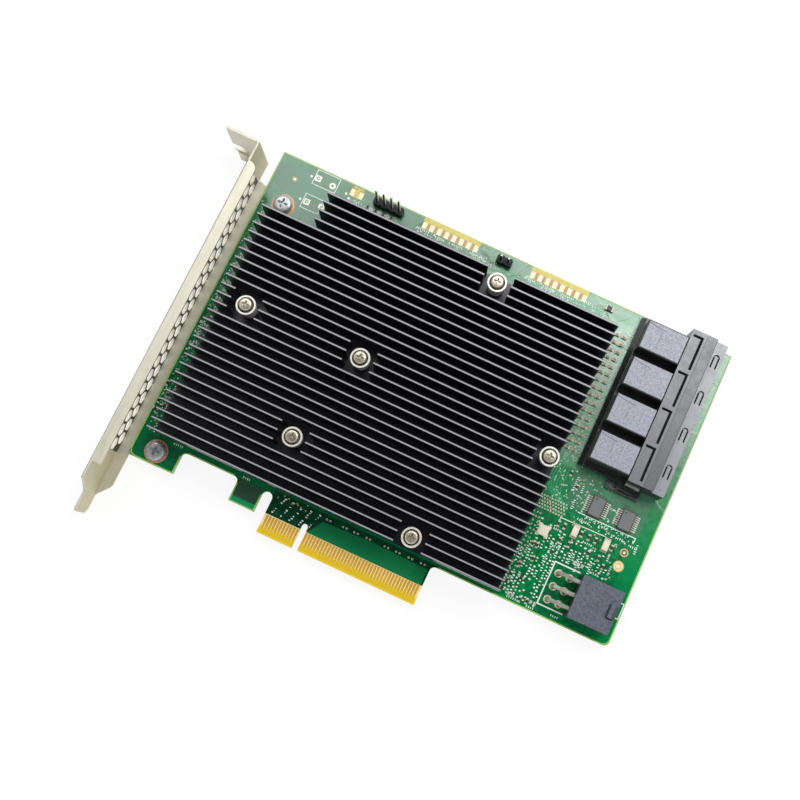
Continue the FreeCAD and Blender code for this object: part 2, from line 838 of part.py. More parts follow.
def latch_slits(y):
    """L-shaped slit in the shell's top beside each port."""
    x0 = shell_back + latch_start
    x1 = x0 + latch_length
    z = port_height - latch_slit_depth
    across = box(x0, x1, y + latch_up - latch_slit, y + latch_up, z, port_height + 1)
    along = box(x1 - latch_slit, x1, y - latch_down, y + latch_up, z, port_height + 1)
    return [across, along]


def finger_slits(y):
    """U-shaped slit that frees a spring finger in the shell's lip."""
    right = shell_front - finger_edge
    mid = right - finger_width / 2
    outer = finger_width / 2
    inner = outer - finger_slit
    top = y + finger_up - outer
    low = y - finger_down
    z = shell_lip_height - latch_slit_depth
    high = shell_lip_height + 1
    arch = rod(mid, top, z, high, 2 * outer).fuse(box(mid - outer, mid + outer, low, top, z, high))
    tongue = rod(mid, top, z - 1, high + 1, 2 * inner)
    tongue = tongue.fuse(box(mid - inner, mid + inner, low - 1, top, z - 1, high + 1))
    return arch.cut(tongue)


def make_shell():
    cuts = []
    for y in port_ys:
        half = mouth_width / 2
        cuts.append(box(shell_back - 1, shell_front + 1, y - half, y + half,
                        mouth_floor, mouth_floor + mouth_height))
        cuts += latch_slits(y)
        cuts.append(finger_slits(y))
    return shell_body().cut(cuts)


def make_port_contacts():
    """Contact row in the blade slot of each port."""
    contacts = []
    z = mouth_floor + mouth_height / 2 + base_height / 2
    for y in port_ys:
        for i in range(port_contacts):
            c = y + (i - (port_contacts - 1) / 2) * port_contact_pitch
            low = c - port_contact_width / 2
            high = c + port_contact_width / 2
            back = shell_back - card_slot_depth
            contacts.append(box(back, shell_back, low, high, z - card_slot_height / 2,
                                z - card_slot_height / 2 + lead_thickness))
    return contacts


def make_port_leads():
    """Solder feet along the rear of the port base."""
    leads = []
    back = port_back - base_rear_step
    for y in port_ys:
        for i in range(port_contacts):
            low = y + (i - (port_contacts - 1) / 2) * port_contact_pitch - port_contact_width / 2
            leads.append(box(back - lead_foot, back, low, low + port_contact_width, 0, lead_thickness))
    return leads


def make_hold_down():
    """Metal blade between the low end of the shell and the boss on the foot."""
    x0 = shell_back + latch_start
    return box(x0, x0 + hold_down_length, hold_down_low, shell_low, foot_height, hold_down_height)


# ---------------------------------------------------------------- power socket
def make_power_socket():
    """Right-angle socket with two rows of cavities and a latch keeper."""
    body = box(power_back, power_front, power_low, power_high, 0, power_height)
    cuts = []
    for y, z, tail in power_pin_places():
        half = cavity_side / 2
        cavity = box(power_front - cavity_depth, power_front + 1, y - half, y + half, z - half, z + half)
        along = [e for e in cavity.Edges if all(v.Point.z > z for v in e.Vertexes) and
                 abs(e.Vertexes[0].Point.x - e.Vertexes[1].Point.x) > 1]
        cuts.append(cavity.makeChamfer(cavity_corner, along))
        pin = power_pin / 2
        cuts.append(box(power_back - 1, power_front, y - pin, y + pin, z - pin, z + pin))
    keeper = [
        V(power_front, power_centre_y - keeper_width / 2, power_height),
        V(power_front - keeper_length, power_centre_y - keeper_width / 2, power_height),
        V(power_front - keeper_length, power_centre_y - keeper_width / 2, power_height + keeper_height),
        V(power_front - keeper_length / 2, power_centre_y - keeper_width / 2, power_height + keeper_height),
    ]
    ramp = sheet_prism(keeper, V(0, keeper_width, 0))
    return joined([body.cut(cuts), ramp])


def make_power_pins():
    """Square pins that run back out of the socket and down through the board."""
    pins = []
    half = power_pin / 2
    for y, z, tail in power_pin_places():
        reach = power_front - cavity_depth + power_pin_reach
        side = [
            V(reach, y - half, z - half),
            V(reach, y - half, z + half),
            V(tail - half, y - half, z + half),
            V(tail - half, y - half, board_back),
            V(tail + half, y - half, board_back),
            V(tail + half, y - half, z - half),
        ]
        pins.append(sheet_prism(side, V(0, power_pin, 0)))
    return pins


def make_solder_joints():
    """Solder cones on the back of the board, one for each through pin."""
    places = [(x, y) for y, z, x in power_pin_places()]
    for inset, y, count in headers:
        places += [(x, y) for x in header_xs(inset, count)]
    r = solder_d / 2
    low = board_back - solder_height
    profile = [(0, low), (r / 2, low), (r, board_back), (0, board_back)]
    return [turned(x, y, profile, flats // 2) for x, y in places]


# ---------------------------------------------------------------- pin headers
def make_header_base(inset, y, count):
    """Moulded strip of a pin header, with a waist between its pins."""
    xs = header_xs(inset, count)
    half = header_pitch / 2
    pin = header_pin / 2
    blocks = []
    for x in xs:
        block = box(x - half, x + half, y - header_width / 2, y + header_width / 2, 0, header_base_height)
        upright = [e for e in block.Edges if abs(e.Vertexes[0].Point.z - e.Vertexes[1].Point.z) > 1]
        block = block.makeChamfer(header_pitch / 6, upright)
        blocks.append(block)
    holes = [box(x - pin, x + pin, y - pin, y + pin, -1, header_base_height + 1) for x in xs]
    return joined(blocks).cut(holes)


def make_header_pins(inset, y, count, top):
    """Square gold pins of a pin header, pointed at the top."""
    pins = []
    half = header_pin / 2
    for x in header_xs(inset, count):
        pin = box(x - half, x + half, y - half, y + half, board_back, top)
        tip = [e for e in pin.Edges if all(abs(v.Point.z - top) < 1e-4 for v in e.Vertexes)]
        pins.append(pin.makeChamfer(half / 2, tip))
    return pins


# ---------------------------------------------------------------- small parts
def ic_x(index):
    """Centre of one of the two small chips."""
    return board_right - ic_insets[index]


def make_ic(index):
    """Moulded body of a small chip with a bevelled top."""
    x = ic_x(index)
    half_x, half_y, height = ic_body[0] / 2, ic_body[1] / 2, ic_body[2]
    body = box(x - half_x, x + half_x, ic_y - half_y, ic_y + half_y, ic_standoff, ic_standoff + height)
    top = [e for e in body.Edges if all(v.Point.z > height for v in e.Vertexes)]
    return body.makeChamfer(height / 5, top)


def make_ic_leads():
    """Gull-wing leads on both long sides of the small chips."""
    leads = []
    mid = ic_standoff + ic_body[2] / 2
    t = lead_thickness
    for index in range(len(ic_insets)):
        for side in (-1, 1):
            edge = ic_x(index) + side * ic_body[0] / 2
            for i in range(ic_leads):
                y = ic_y + (i - (ic_leads - 1) / 2) * ic_lead_pitch - ic_lead_width / 2
                knee = edge + side * ic_lead_reach / 2
                end = edge + side * ic_lead_reach
                profile = [
                    V(edge, y, mid),
                    V(knee, y, mid),
                    V(end, y, t),
                    V(end, y, 0),
                    V(knee, y, 0),
                    V(edge, y, mid - t),
                ]
                leads.append(sheet_prism(profile, V(0, ic_lead_width, 0)))
    return leads


def make_clock():
    """Small metal-lidded clock can."""
    x = board_right - clock_inset
    a, b, h = clock_size
    can = box(x - a / 2, x + a / 2, clock_y - b / 2, clock_y + b / 2, 0, h)
    upright = [e for e in can.Edges if abs(e.Vertexes[0].Point.z - e.Vertexes[1].Point.z) > h / 2]
    return can.makeChamfer(b / 8, upright)


def part_row(insets, y, size):
    """Row of plain two-ended parts that stand on the board."""
    a, b, h = size
    xs = [board_right - inset for inset in insets]
    return [box(x - a / 2, x + a / 2, y - b / 2, y + b / 2, 0, h) for x in xs]


def make_coupling_capacitors():
    """Two columns of small capacitors beside the ports."""
    parts = []
    for i in range(chip_cap_rows):
        y = base_low + chip_cap_rise + i * chip_cap_row_step
        insets = [chip_cap_column_inset - k * chip_cap_column_step for k in range(chip_cap_columns)]
        parts += part_row(insets, y, chip_part)
    return parts


def main():
    os.makedirs("parts", exist_ok=True)
    save("board", make_board())
    save("edge_contacts_front", make_contacts(0, foil))
    save("edge_contacts_back", make_contacts(board_back - foil, board_back))
    save("gold_pads", make_pads())
    save("screw_lands", make_screw_lands())
    save("bracket", make_bracket())
    save("bracket_screws", make_bracket_screws())
    save("heatsink", make_heatsink())
    for number, (x, y) in enumerate(chip_centres(), 1):
        save("controller_chip_%d" % number, make_chip(x, y))
        save("thermal_pad_%d" % number, make_thermal_pad(x, y))
    axes = [axis for pair in screw_axes() for axis in pair]
    save("spring_screws", [make_spring_screw(x, y) for x, y in axes])
    save("spring_cups", [make_cup(x, y) for x, y in axes])
    save("springs", [make_spring(x, y) for x, y in axes])
    save("press_nuts", [make_nut(x, y) for x, y in axes])
    for number, y in enumerate(port_ys, 1):
        save("drive_port_%d" % number, make_port(y))
    save("port_base", make_port_base())
    save("port_shell", make_shell())
    save("port_contacts", make_port_contacts())
    save("port_leads", make_port_leads())
    save("port_hold_down", make_hold_down())
    save("power_socket", make_power_socket())
    save("power_pins", make_power_pins())
    save("solder_joints", make_solder_joints())
    for name, header, top in zip(("jumper4", "jumper2"), headers, (jumper4_top, jumper2_top)):
        save(name + "_base", make_header_base(*header))
        save(name + "_pins", make_header_pins(*header, top))
    for index in range(len(ic_insets)):
        save("small_chip_%d" % (index + 1), make_ic(index))
    save("small_chip_leads", make_ic_leads())
    save("clock_can", make_clock())
    save("large_capacitors", part_row(large_insets, upper_row_y, large_part))
    save("coupling_capacitors", make_coupling_capacitors())
    rows = part_row(upper_row_insets, upper_row_y, row_part) + part_row(lower_row_insets, lower_row_y, row_part)
    save("resistors", rows)


main()
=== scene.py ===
import random
from math import cos, pi, radians, sin

import bpy
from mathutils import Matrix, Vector


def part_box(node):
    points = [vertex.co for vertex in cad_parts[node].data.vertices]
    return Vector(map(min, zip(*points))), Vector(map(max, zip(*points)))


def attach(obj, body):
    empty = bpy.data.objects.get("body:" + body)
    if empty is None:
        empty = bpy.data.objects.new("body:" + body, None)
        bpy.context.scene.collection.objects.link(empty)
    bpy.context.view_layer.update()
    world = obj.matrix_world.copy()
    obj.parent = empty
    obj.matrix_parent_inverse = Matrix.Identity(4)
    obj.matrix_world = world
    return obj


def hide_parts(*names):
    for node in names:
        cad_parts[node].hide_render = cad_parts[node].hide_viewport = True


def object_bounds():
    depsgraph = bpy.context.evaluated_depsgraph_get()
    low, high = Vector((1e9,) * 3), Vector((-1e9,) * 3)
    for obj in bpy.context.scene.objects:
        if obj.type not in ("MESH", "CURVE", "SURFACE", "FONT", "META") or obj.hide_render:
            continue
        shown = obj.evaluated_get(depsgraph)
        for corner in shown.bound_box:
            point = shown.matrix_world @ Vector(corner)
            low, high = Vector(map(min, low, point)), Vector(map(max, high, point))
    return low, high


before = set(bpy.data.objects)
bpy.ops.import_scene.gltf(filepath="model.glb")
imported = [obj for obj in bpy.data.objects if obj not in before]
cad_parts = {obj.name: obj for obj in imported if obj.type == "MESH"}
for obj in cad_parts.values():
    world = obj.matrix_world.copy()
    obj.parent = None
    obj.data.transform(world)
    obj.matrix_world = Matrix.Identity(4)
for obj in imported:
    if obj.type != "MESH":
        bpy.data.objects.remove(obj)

# Looks of the storage controller card.  Places are in millimetres in the row frame; u is the
# distance from the board's bracket-side edge, as on the board's own drawing.

MM = 0.001
CAD_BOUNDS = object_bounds()


class Extent:
    """Box of a CAD node in millimetres."""

    def __init__(self, node):
        low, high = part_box(node)
        self.x0, self.y0, self.z0 = (c / MM for c in low)
        self.x1, self.y1, self.z1 = (c / MM for c in high)
        self.x = (self.x0 + self.x1) / 2
        self.y = (self.y0 + self.y1) / 2


BOARD = Extent("board")
SINK = Extent("heatsink")
SHELL = Extent("port_shell")
BASE = Extent("port_base")
SOCKET = Extent("power_socket")
PORTS = [Extent("drive_port_%d" % n) for n in range(1, 5)]
FINGERS = Extent("edge_contacts_front")

LENGTH = BOARD.x1 - BOARD.x0
INK = 0.02                      # height of printed marks and bare metal above the board
THIN_INK = INK / 2
SHELL_LIP_Z = 8.0               # top of the low front part of the port shell
SHELL_LIP = 8.2                 # from the shell's back to its low front part
FIN_PITCH = 2.977
FIN_ROOT = 0.95                 # thickness of a fin at its root
TOP_FIN_Y = SINK.y1 - FIN_ROOT / 2
TAB_Y = 5.0                     # lower edge of the bracket tab and the hook tab
RIGHT_LOW_Y = 12.87             # lower edge of the board right of the connector
STRIP_PADS = ((49.6, 69.1), (87.2, 106.7))      # u of both rows of eight gold pads
WHITE = (255, 255, 255)
MITRE_LIMIT = 0.35              # keeps the mitres of sharp corners short
TINY = 1e-4                     # length under which a direction isn't trusted
SHARP_ANGLE = radians(35)
MIX_FIRST, MIX_SECOND, MIX_COLOUR = 6, 7, 2     # sockets of a colour Mix node


def at(u):
    """x of a place given from the board's bracket-side edge."""
    return BOARD.x0 + u


# ---- materials
def srgb(r, g, b):
    """Linear colour from 0-255 display values."""
    def linear(c):
        c /= 255
        return c / 12.92 if c <= 0.04045 else ((c + 0.055) / 1.055) ** 2.4
    return (linear(r), linear(g), linear(b), 1.0)


class Nodes:
    """A node tree that is grown node by node."""

    def __init__(self, tree):
        self.tree = tree

    def node(self, kind, **settings):
        """New node with its settings."""
        made = self.tree.nodes.new(kind)
        for key, value in settings.items():
            setattr(made, key, value)
        return made

    def feed(self, node, name, value):
        """Link a socket, or set a plain value."""
        if isinstance(value, bpy.types.NodeSocket):
            self.tree.links.new(value, node.inputs[name])
        else:
            node.inputs[name].default_value = value

    def math(self, operation, a, b=0.0):
        """Result of a sum on sockets or numbers."""
        made = self.node("ShaderNodeMath", operation=operation)
        self.feed(made, 0, a)
        self.feed(made, 1, b)
        return made.outputs[0]

    def blend(self, share, first, second):
        """Colour from first to second with share; each is a socket or 0-255 display values."""
        made = self.node("ShaderNodeMix", data_type="RGBA")
        self.feed(made, 0, share)
        for place, colour in ((MIX_FIRST, first), (MIX_SECOND, second)):
            self.feed(made, place, srgb(*colour) if isinstance(colour, tuple) else colour)
        return made.outputs[MIX_COLOUR]


class Shader(Nodes):
    """A Principled material."""

    def __init__(self, name, metallic=0.0, roughness=0.5, specular=0.5):
        self.material = bpy.data.materials.new(name)
        self.material.use_nodes = True
        super().__init__(self.material.node_tree)
        self.bsdf = self.tree.nodes["Principled BSDF"]
        self.feed(self.bsdf, "Metallic", metallic)
        self.feed(self.bsdf, "Roughness", roughness)
        self.feed(self.bsdf, "Specular IOR Level", specular)
        self.place = self.node("ShaderNodeTexCoord").outputs["Object"]
        self.x, self.y, self.z = self.parts(self.place)
        normal = self.node("ShaderNodeNewGeometry").outputs["Normal"]
        self.facing_x, self.facing_y, self.facing_z = self.parts(normal)

    def stretched(self, sx, sy, sz):
        """Object place scaled along each axis."""
        mapping = self.node("ShaderNodeMapping")
        self.feed(mapping, "Scale", (sx, sy, sz))
        self.feed(mapping, "Vector", self.place)
        return mapping.outputs["Vector"]

    def noise(self, size_mm, detail=3.0, vector=None, roughness=0.55):
        """Cloudy value with features of about the given size."""
        made = self.node("ShaderNodeTexNoise")
        self.feed(made, "Scale", 1 / (size_mm * MM))
        self.feed(made, "Detail", detail)
        self.feed(made, "Roughness", roughness)
        self.feed(made, "Vector", vector or self.place)
        return made.outputs["Fac"]

    def cells(self, size_mm):
        """Cellular value with cells of about the given size."""
        made = self.node("ShaderNodeTexVoronoi", feature="F1")
        self.feed(made, "Scale", 1 / (size_mm * MM))
        self.feed(made, "Vector", self.place)
        return made.outputs["Distance"]

    def times(self, a, b):
        """Product of two values."""
        return self.math("MULTIPLY", a, b)

    def remap(self, value, low, high, to_low=0.0, to_high=1.0, smooth=False):
        """Value moved from one range to another, and held at its ends."""
        made = self.node("ShaderNodeMapRange", interpolation_type="SMOOTHSTEP" if smooth else "LINEAR")
        limits = {"From Min": low, "From Max": high, "To Min": to_low, "To Max": to_high}
        for name, number in limits.items():
            self.feed(made, name, number)
        self.feed(made, "Value", value)
        return made.outputs["Result"]

    def spread(self, cloud, low=0.0, high=1.0):
        """Cloudy value, which seldom leaves 0.3 to 0.7, stretched to a whole range."""
        return self.remap(cloud, 0.3, 0.7, low, high)

    def parts(self, vector):
        """x, y and z of a vector."""
        made = self.node("ShaderNodeSeparateXYZ")
        self.feed(made, 0, vector)
        return made.outputs

    def below(self, value, limit):
        """1 below a place in millimetres, 0 above it."""
        return self.math("LESS_THAN", value, limit * MM)

    def between(self, value, low, high):
        """1 between two places in millimetres, 0 outside."""
        return self.times(self.math("GREATER_THAN", value, low * MM), self.below(value, high))

    def inside(self, x0, x1, y0, y1):
        """1 inside a rectangle of the board's plane, 0 outside; sides in millimetres."""
        return self.times(self.between(self.x, x0, x1), self.between(self.y, y0, y1))

    def tint(self, green, field, share, colour, soft):
        """Tint a soft-edged field (u0, u1, y0, y1) of the board's front face."""
        u0, u1, y0, y1 = field
        product = self.remap(self.facing_z, 0.5, 0.8, 0.0, share)
        for value, low, high in ((self.x, at(u0), at(u1)), (self.y, y0, y1)):
            product = self.times(product, self.remap(value, low * MM, (low + soft) * MM))
            product = self.times(product, self.remap(value, high * MM, (high - soft) * MM))
        return self.blend(product, green, colour)

    def colour(self, share, first, second):
        """Set the base colour, from first to second with share."""
        self.feed(self.bsdf, "Base Color", self.blend(share, first, second))

    def rough(self, value):
        """Set the roughness."""
        self.feed(self.bsdf, "Roughness", value)

    def bump(self, height, depth_mm, edge_mm=0.0):
        """Surface relief; edge_mm shades a small radius on the edges."""
        made = self.node("ShaderNodeBump")
        if edge_mm:
            edge = self.node("ShaderNodeBevel", samples=4)
            self.feed(edge, "Radius", edge_mm * MM)
            self.feed(made, "Normal", edge.outputs["Normal"])
        self.feed(made, "Distance", depth_mm * MM)
        self.feed(made, "Height", height)
        self.feed(self.bsdf, "Normal", made.outputs["Normal"])


def connector_tip(s):
    """Share that rises to 1 on the connector's bevelled tip."""
    return s.remap(s.y, 3.2 * MM, 1.7 * MM)


def solder_mask():
    """Green mask over copper and bare laminate, with the laminate showing on the cut edges; painted shade is
    tinted in below the heatsink and painted glare beside the ports.
    """
    s = Shader("solder_mask", roughness=0.2, specular=1.0)
    # painted shadow and reflection of the black heatsink on the mask just below it
    painted_sink_shade_field = (45.0, 118.0, 5.0, SINK.y0 - 0.5)
    # painted glare beside the small chips and beside the ports, then the hook tab and its tip: field, share,
    # colour, soft edge
    tints = (((126.0, 151.5, 46.2, 61.0), 0.5, (84, 116, 100), 0.8),
             ((115.0, 126.8, 57.5, 107.0), 0.35, (150, 186, 160), 0.8),
             ((33.5, 42.0, 6.8, 12.6), 0.75, (52, 72, 62), 0.1),
             ((33.5, 42.0, 4.0, 7.0), 0.8, (30, 148, 98), 0.1))
    pour = s.remap(s.noise(9.0, 1.0), 0.47, 0.53, smooth=True)
    cloud = s.spread(s.noise(2.2, 4.0))
    patch = s.remap(s.noise(1.3, 3.0), 0.46, 0.56, smooth=True)
    weave = s.noise(0.35, 2.0, s.stretched(1.0, 1.0, 0.2))
    right = s.remap(s.x, at(60.0) * MM, at(125.0) * MM, smooth=True)
    green = s.blend(right, (0, 88, 52), (0, 124, 66))
    green = s.blend(s.times(pour, 0.5), green, (0, 108, 62))
    green = s.tint(green, painted_sink_shade_field, 0.9, (2, 28, 20), 0.2)
    green = s.blend(s.times(cloud, 0.25), green, (4, 128, 74))
    crowded = s.times(s.inside(at(116.0), at(150.0), 13.0, 46.0), patch)
    green = s.blend(s.times(crowded, 0.6), green, (0, 78, 46))
    for tint in tints:
        green = s.tint(green, *tint)
    tan = s.blend(s.spread(weave), (232, 210, 142), (246, 228, 168))
    tan = s.blend(connector_tip(s), tan, (220, 188, 40))
    bare = s.inside(FINGERS.x0 - 1.5, FINGERS.x1 + 2.0, -1.0, FINGERS.y1 + 0.25)
    face = s.blend(bare, green, tan)
    upright = s.remap(s.math("ABSOLUTE", s.facing_z), 0.5, 0.8)
    edge = s.blend(s.noise(0.8, 3.0), (120, 158, 62), (176, 196, 104))
    s.colour(upright, edge, face)
    s.rough(s.remap(cloud, 0.0, 1.0, 0.16, 0.26))
    gloss = s.remap(s.y, 34.0 * MM, 64.0 * MM, 0.25, 1.0)
    s.feed(s.bsdf, "Specular IOR Level", gloss)
    s.bump(s.math("ADD", pour, s.times(weave, 0.25)), 0.02)
    return s.material


def plain(name, first, second, roughness, cloud_mm, grain_mm, relief, specular=0.5):
    """Dull finish that drifts between two colours: mask over copper, fired ceramic or ink."""
    s = Shader(name, roughness=roughness, specular=specular)
    s.colour(s.noise(cloud_mm), first, second)
    s.bump(s.noise(grain_mm), relief)
    return s.material


def mask_rim():
    """Pale strip along the board's edges, greener low on the board."""
    s = Shader("mask_rim", roughness=0.4, specular=0.4)
    low = s.remap(s.y, 60.0 * MM, 20.0 * MM)
    grain = s.noise(0.8, 3.0)
    high_tone = s.blend(grain, (128, 164, 92), (160, 184, 118))
    low_tone = s.blend(grain, (110, 180, 66), (176, 212, 106))
    s.colour(low, high_tone, low_tone)
    s.bump(grain, 0.004)
    return s.material


def gold(name, light, dark, roughness):
    """Gold plating with fine handling marks."""
    s = Shader(name, metallic=0.25, roughness=roughness)
    plate = s.blend(s.spread(s.noise(0.9)), dark, light)
    s.colour(connector_tip(s), plate, (218, 184, 26))
    s.rough(s.spread(s.noise(0.3, 4.0), roughness - 0.06, roughness + 0.1))
    s.bump(s.noise(0.12, 2.0, s.stretched(6.0, 0.6, 1.0)), 0.002)
    return s.material


def bright_metal(name, light, dark, roughness, metallic=1.0):
    """Plated or tinned metal with grain."""
    s = Shader(name, metallic=metallic, roughness=roughness)
    streaks = s.noise(0.5, 4.0)
    s.colour(s.remap(streaks, 0.25, 0.75), dark, light)
    s.rough(s.spread(s.noise(3.0), roughness - 0.05, roughness + 0.08))
    s.bump(streaks, 0.002)
    return s.material


def bracket_metal():
    """Nickel plate with painted reflections, highlight and shade: the webs between the vents mirror the
    heatsink, the face turned to the board mirrors the board's edge, the vents' walls are lit pale and the
    front fold is shaded.
    """
    s = Shader("nickel", metallic=0.55, roughness=0.46)
    streaks = s.noise(0.5, 4.0, s.stretched(0.5, 0.05, 0.5))
    plate = s.blend(s.remap(streaks, 0.25, 0.75), (196, 192, 173), (207, 204, 188))
    field = s.times(s.between(s.z, -3.3, 5.2), s.between(s.y, 3.9, 99.5))
    vents = s.times(s.below(s.x, BOARD.x0 - 4.0), field)
    inward = s.math("GREATER_THAN", s.facing_x, 0.5)
    wall = s.math("LESS_THAN", s.math("ABSOLUTE", s.facing_x), 0.5)
    # faces turned to the board take a warm painted reflection of the board's edge
    warm_reflection = s.blend(s.times(inward, 0.6), plate, (190, 180, 136))
    tone = s.blend(s.times(vents, inward), warm_reflection, (70, 65, 54))
    # the walls of the vents take a pale painted highlight
    tone = s.blend(s.times(vents, wall), tone, (226, 223, 208))
    fold = s.times(s.below(s.x, BOARD.x0 - 4.58), s.math("GREATER_THAN", s.z, 13.0 * MM))
    fold = s.times(fold, s.below(s.y, 99.9))
    s.colour(s.times(fold, 0.8), tone, (92, 84, 84))
    s.rough(s.spread(s.noise(3.0), 0.4, 0.54))
    s.bump(streaks, 0.002, edge_mm=0.15)
    return s.material


def pin_metal():
    """Tinned pins whose long sides mirror the dark heatsink on one side and the studio on the other."""
    s = Shader("pin_metal", metallic=0.3, roughness=0.3)
    grain = s.noise(0.3, 3.0)
    pale = s.blend(grain, (206, 202, 184), (232, 229, 214))
    front = s.remap(s.facing_y, -0.3, -0.7)
    s.colour(front, pale, (46, 45, 40))
    s.bump(grain, 0.003)
    return s.material


def anodised():
    """Black anodised aluminium whose milled fin tips show grey."""
    s = Shader("anodised", roughness=0.3, specular=0.7)
    grain = s.noise(0.4, 4.0, s.stretched(0.08, 1.0, 1.0))
    black = s.blend(grain, (2, 4, 12), (8, 12, 27))
    tip = s.blend(grain, (124, 124, 130), (156, 156, 162))
    height = s.remap(s.z, (SINK.z1 - 0.12) * MM, (SINK.z1 - 0.04) * MM)
    up = s.remap(s.facing_z, 0.3, 0.7)
    fin = s.math("DIVIDE", s.math("SUBTRACT", TOP_FIN_Y * MM, s.y), FIN_PITCH * MM)
    off = s.math("ABSOLUTE", s.math("SUBTRACT", fin, s.math("ROUND", fin)))
    ridge = s.remap(off, 0.08, 0.05)
    s.colour(s.times(s.times(height, up), ridge), black, tip)
    s.bump(grain, 0.004)
    return s.material


def moulded(name, light, dark, roughness, mottle_mm, depth, specular=0.5, side=None):
    """Moulded plastic with a spark-eroded texture; side is the colour of its upright walls, and its
    difference from the top is painted light: sheen, shade and reflection, as noted row by row below.
    """
    s = Shader(name, roughness=roughness, specular=specular)
    mottle = s.noise(mottle_mm, 5.0, None, 0.7)
    tone = s.blend(s.spread(mottle), dark, light)
    # upright walls take the side colour: painted light against the mottled top
    s.colour(s.remap(s.facing_z, 0.75, 0.95), side or tone, tone)
    s.rough(s.spread(s.noise(mottle_mm * 2.5), roughness - 0.06, roughness + 0.06))
    s.bump(s.math("ADD", mottle, s.times(s.cells(mottle_mm * 0.6), 0.5)), depth, edge_mm=0.12)
    return s.material


def shell_moulding():
    """Port shell: grey over the latches, a darker band, then the thin pale front lip; the grey of these tops
    against the near-black walls is painted sheen.
    """
    s = Shader("shell_plastic", roughness=0.34, specular=1.0)
    mottle = s.noise(1.2, 5.0, None, 0.7)
    latch = s.blend(mottle, (58, 60, 66), (88, 90, 98))
    band = s.blend(mottle, (36, 38, 45), (58, 60, 68))
    lip = s.blend(mottle, (96, 100, 106), (134, 138, 144))
    in_band = s.remap(s.x, (SHELL.x0 + 4.9) * MM, (SHELL.x0 + 5.1) * MM)
    lip_x = SHELL.x0 + SHELL_LIP
    in_lip = s.remap(s.x, (lip_x - 0.05) * MM, (lip_x + 0.05) * MM)
    top = s.blend(in_lip, s.blend(in_band, latch, band), lip)
    up = s.remap(s.facing_z, 0.75, 0.95)
    # near-black upright walls under lighter tops: painted sheen on the tops
    s.colour(up, (24, 25, 28), top)
    s.rough(s.spread(s.noise(3.0), 0.28, 0.4))
    s.bump(mottle, 0.01, edge_mm=0.15)
    return s.material


MASK = solder_mask()
RIM = mask_rim()

# name, light colour, dark colour, roughness
FINGER_GOLD = gold("finger_gold", (216, 168, 56), (198, 146, 38), 0.34)
PAD_GOLD = gold("pad_gold", (236, 222, 190), (222, 200, 160), 0.4)
EDGE_GOLD = gold("edge_gold", (198, 190, 108), (176, 164, 82), 0.45)
COPPER = bright_metal("bare_copper", (226, 170, 142), (196, 136, 108), 0.42, metallic=0.5)
STEEL = bright_metal("screw_steel", (206, 198, 180), (158, 150, 134), 0.26, metallic=0.8)
MOUNT_STEEL = bright_metal("mount_screw_steel", (198, 202, 202), (122, 127, 130), 0.28, metallic=0.5)
CUP_STEEL = bright_metal("cup_steel", (236, 233, 224), (212, 208, 196), 0.32, metallic=0.4)
# dark steel tone for the inside of the cups: painted shade
CUP_SHADE = bright_metal("painted_cup_shade", (70, 70, 70), (40, 40, 40), 0.4)
SPRING = bright_metal("spring_wire", (150, 150, 152), (100, 100, 104), 0.3)
TIN = bright_metal("tin", (214, 214, 204), (176, 176, 166), 0.34, metallic=0.5)
SOLDER = bright_metal("solder", (222, 218, 196), (190, 186, 162), 0.4, metallic=0.1)
POWER_TIN = bright_metal("power_tin", (200, 202, 190), (132, 134, 122), 0.3, metallic=0.75)
LEAD_TIN = bright_metal("lead_tin", (150, 160, 150), (110, 122, 112), 0.4, metallic=0.6)
NICKEL = bracket_metal()
PIN_METAL = pin_metal()
BLACK_ALUMINIUM = anodised()
SHELL_PLASTIC = shell_moulding()

# name, light colour, dark colour, roughness, mottle in mm, relief in mm, specular, colour of the walls
# (painted light against the top)
# ports: black plastic whose grey tops are painted sheen
PORT_PLASTIC = moulded("port_plastic", (148, 150, 166), (84, 86, 100), 0.42, 0.7, 0.05, 1.0, (10, 11, 13))
# port base: grey-green walls lighter than the top are painted reflection of the board
BASE_PLASTIC = moulded("base_plastic", (24, 27, 28), (12, 14, 15), 0.3, 0.5, 0.006, 0.8, (30, 35, 34))
# power socket: near-black walls below the slate top are painted shade
SOCKET_PLASTIC = moulded("socket_plastic", (92, 99, 114), (46, 51, 63), 0.5, 0.8, 0.04, 0.6, (20, 24, 28))
# chips: darker walls below the grey top are painted shade
CHIP_BLACK = moulded("chip_black", (102, 106, 108), (76, 79, 81), 0.5, 0.25, 0.004, 0.8, (40, 38, 38))
CHIP_EDGE = moulded("chip_edge", (92, 74, 68), (64, 50, 48), 0.5, 0.3, 0.003, 0.4)
# near-black blocks in the shell's slits: painted shade
SLIT_SHADE = moulded("painted_slit_shade", (10, 10, 12), (4, 4, 5), 0.8, 0.5, 0.003, 0.2)
BLACK_PLASTIC = moulded("black_plastic", (16, 17, 20), (7, 8, 10), 0.5, 0.5, 0.006, 0.3)
PAD_GREY = moulded("thermal_pad", (150, 154, 162), (124, 128, 138), 0.8, 0.6, 0.01)

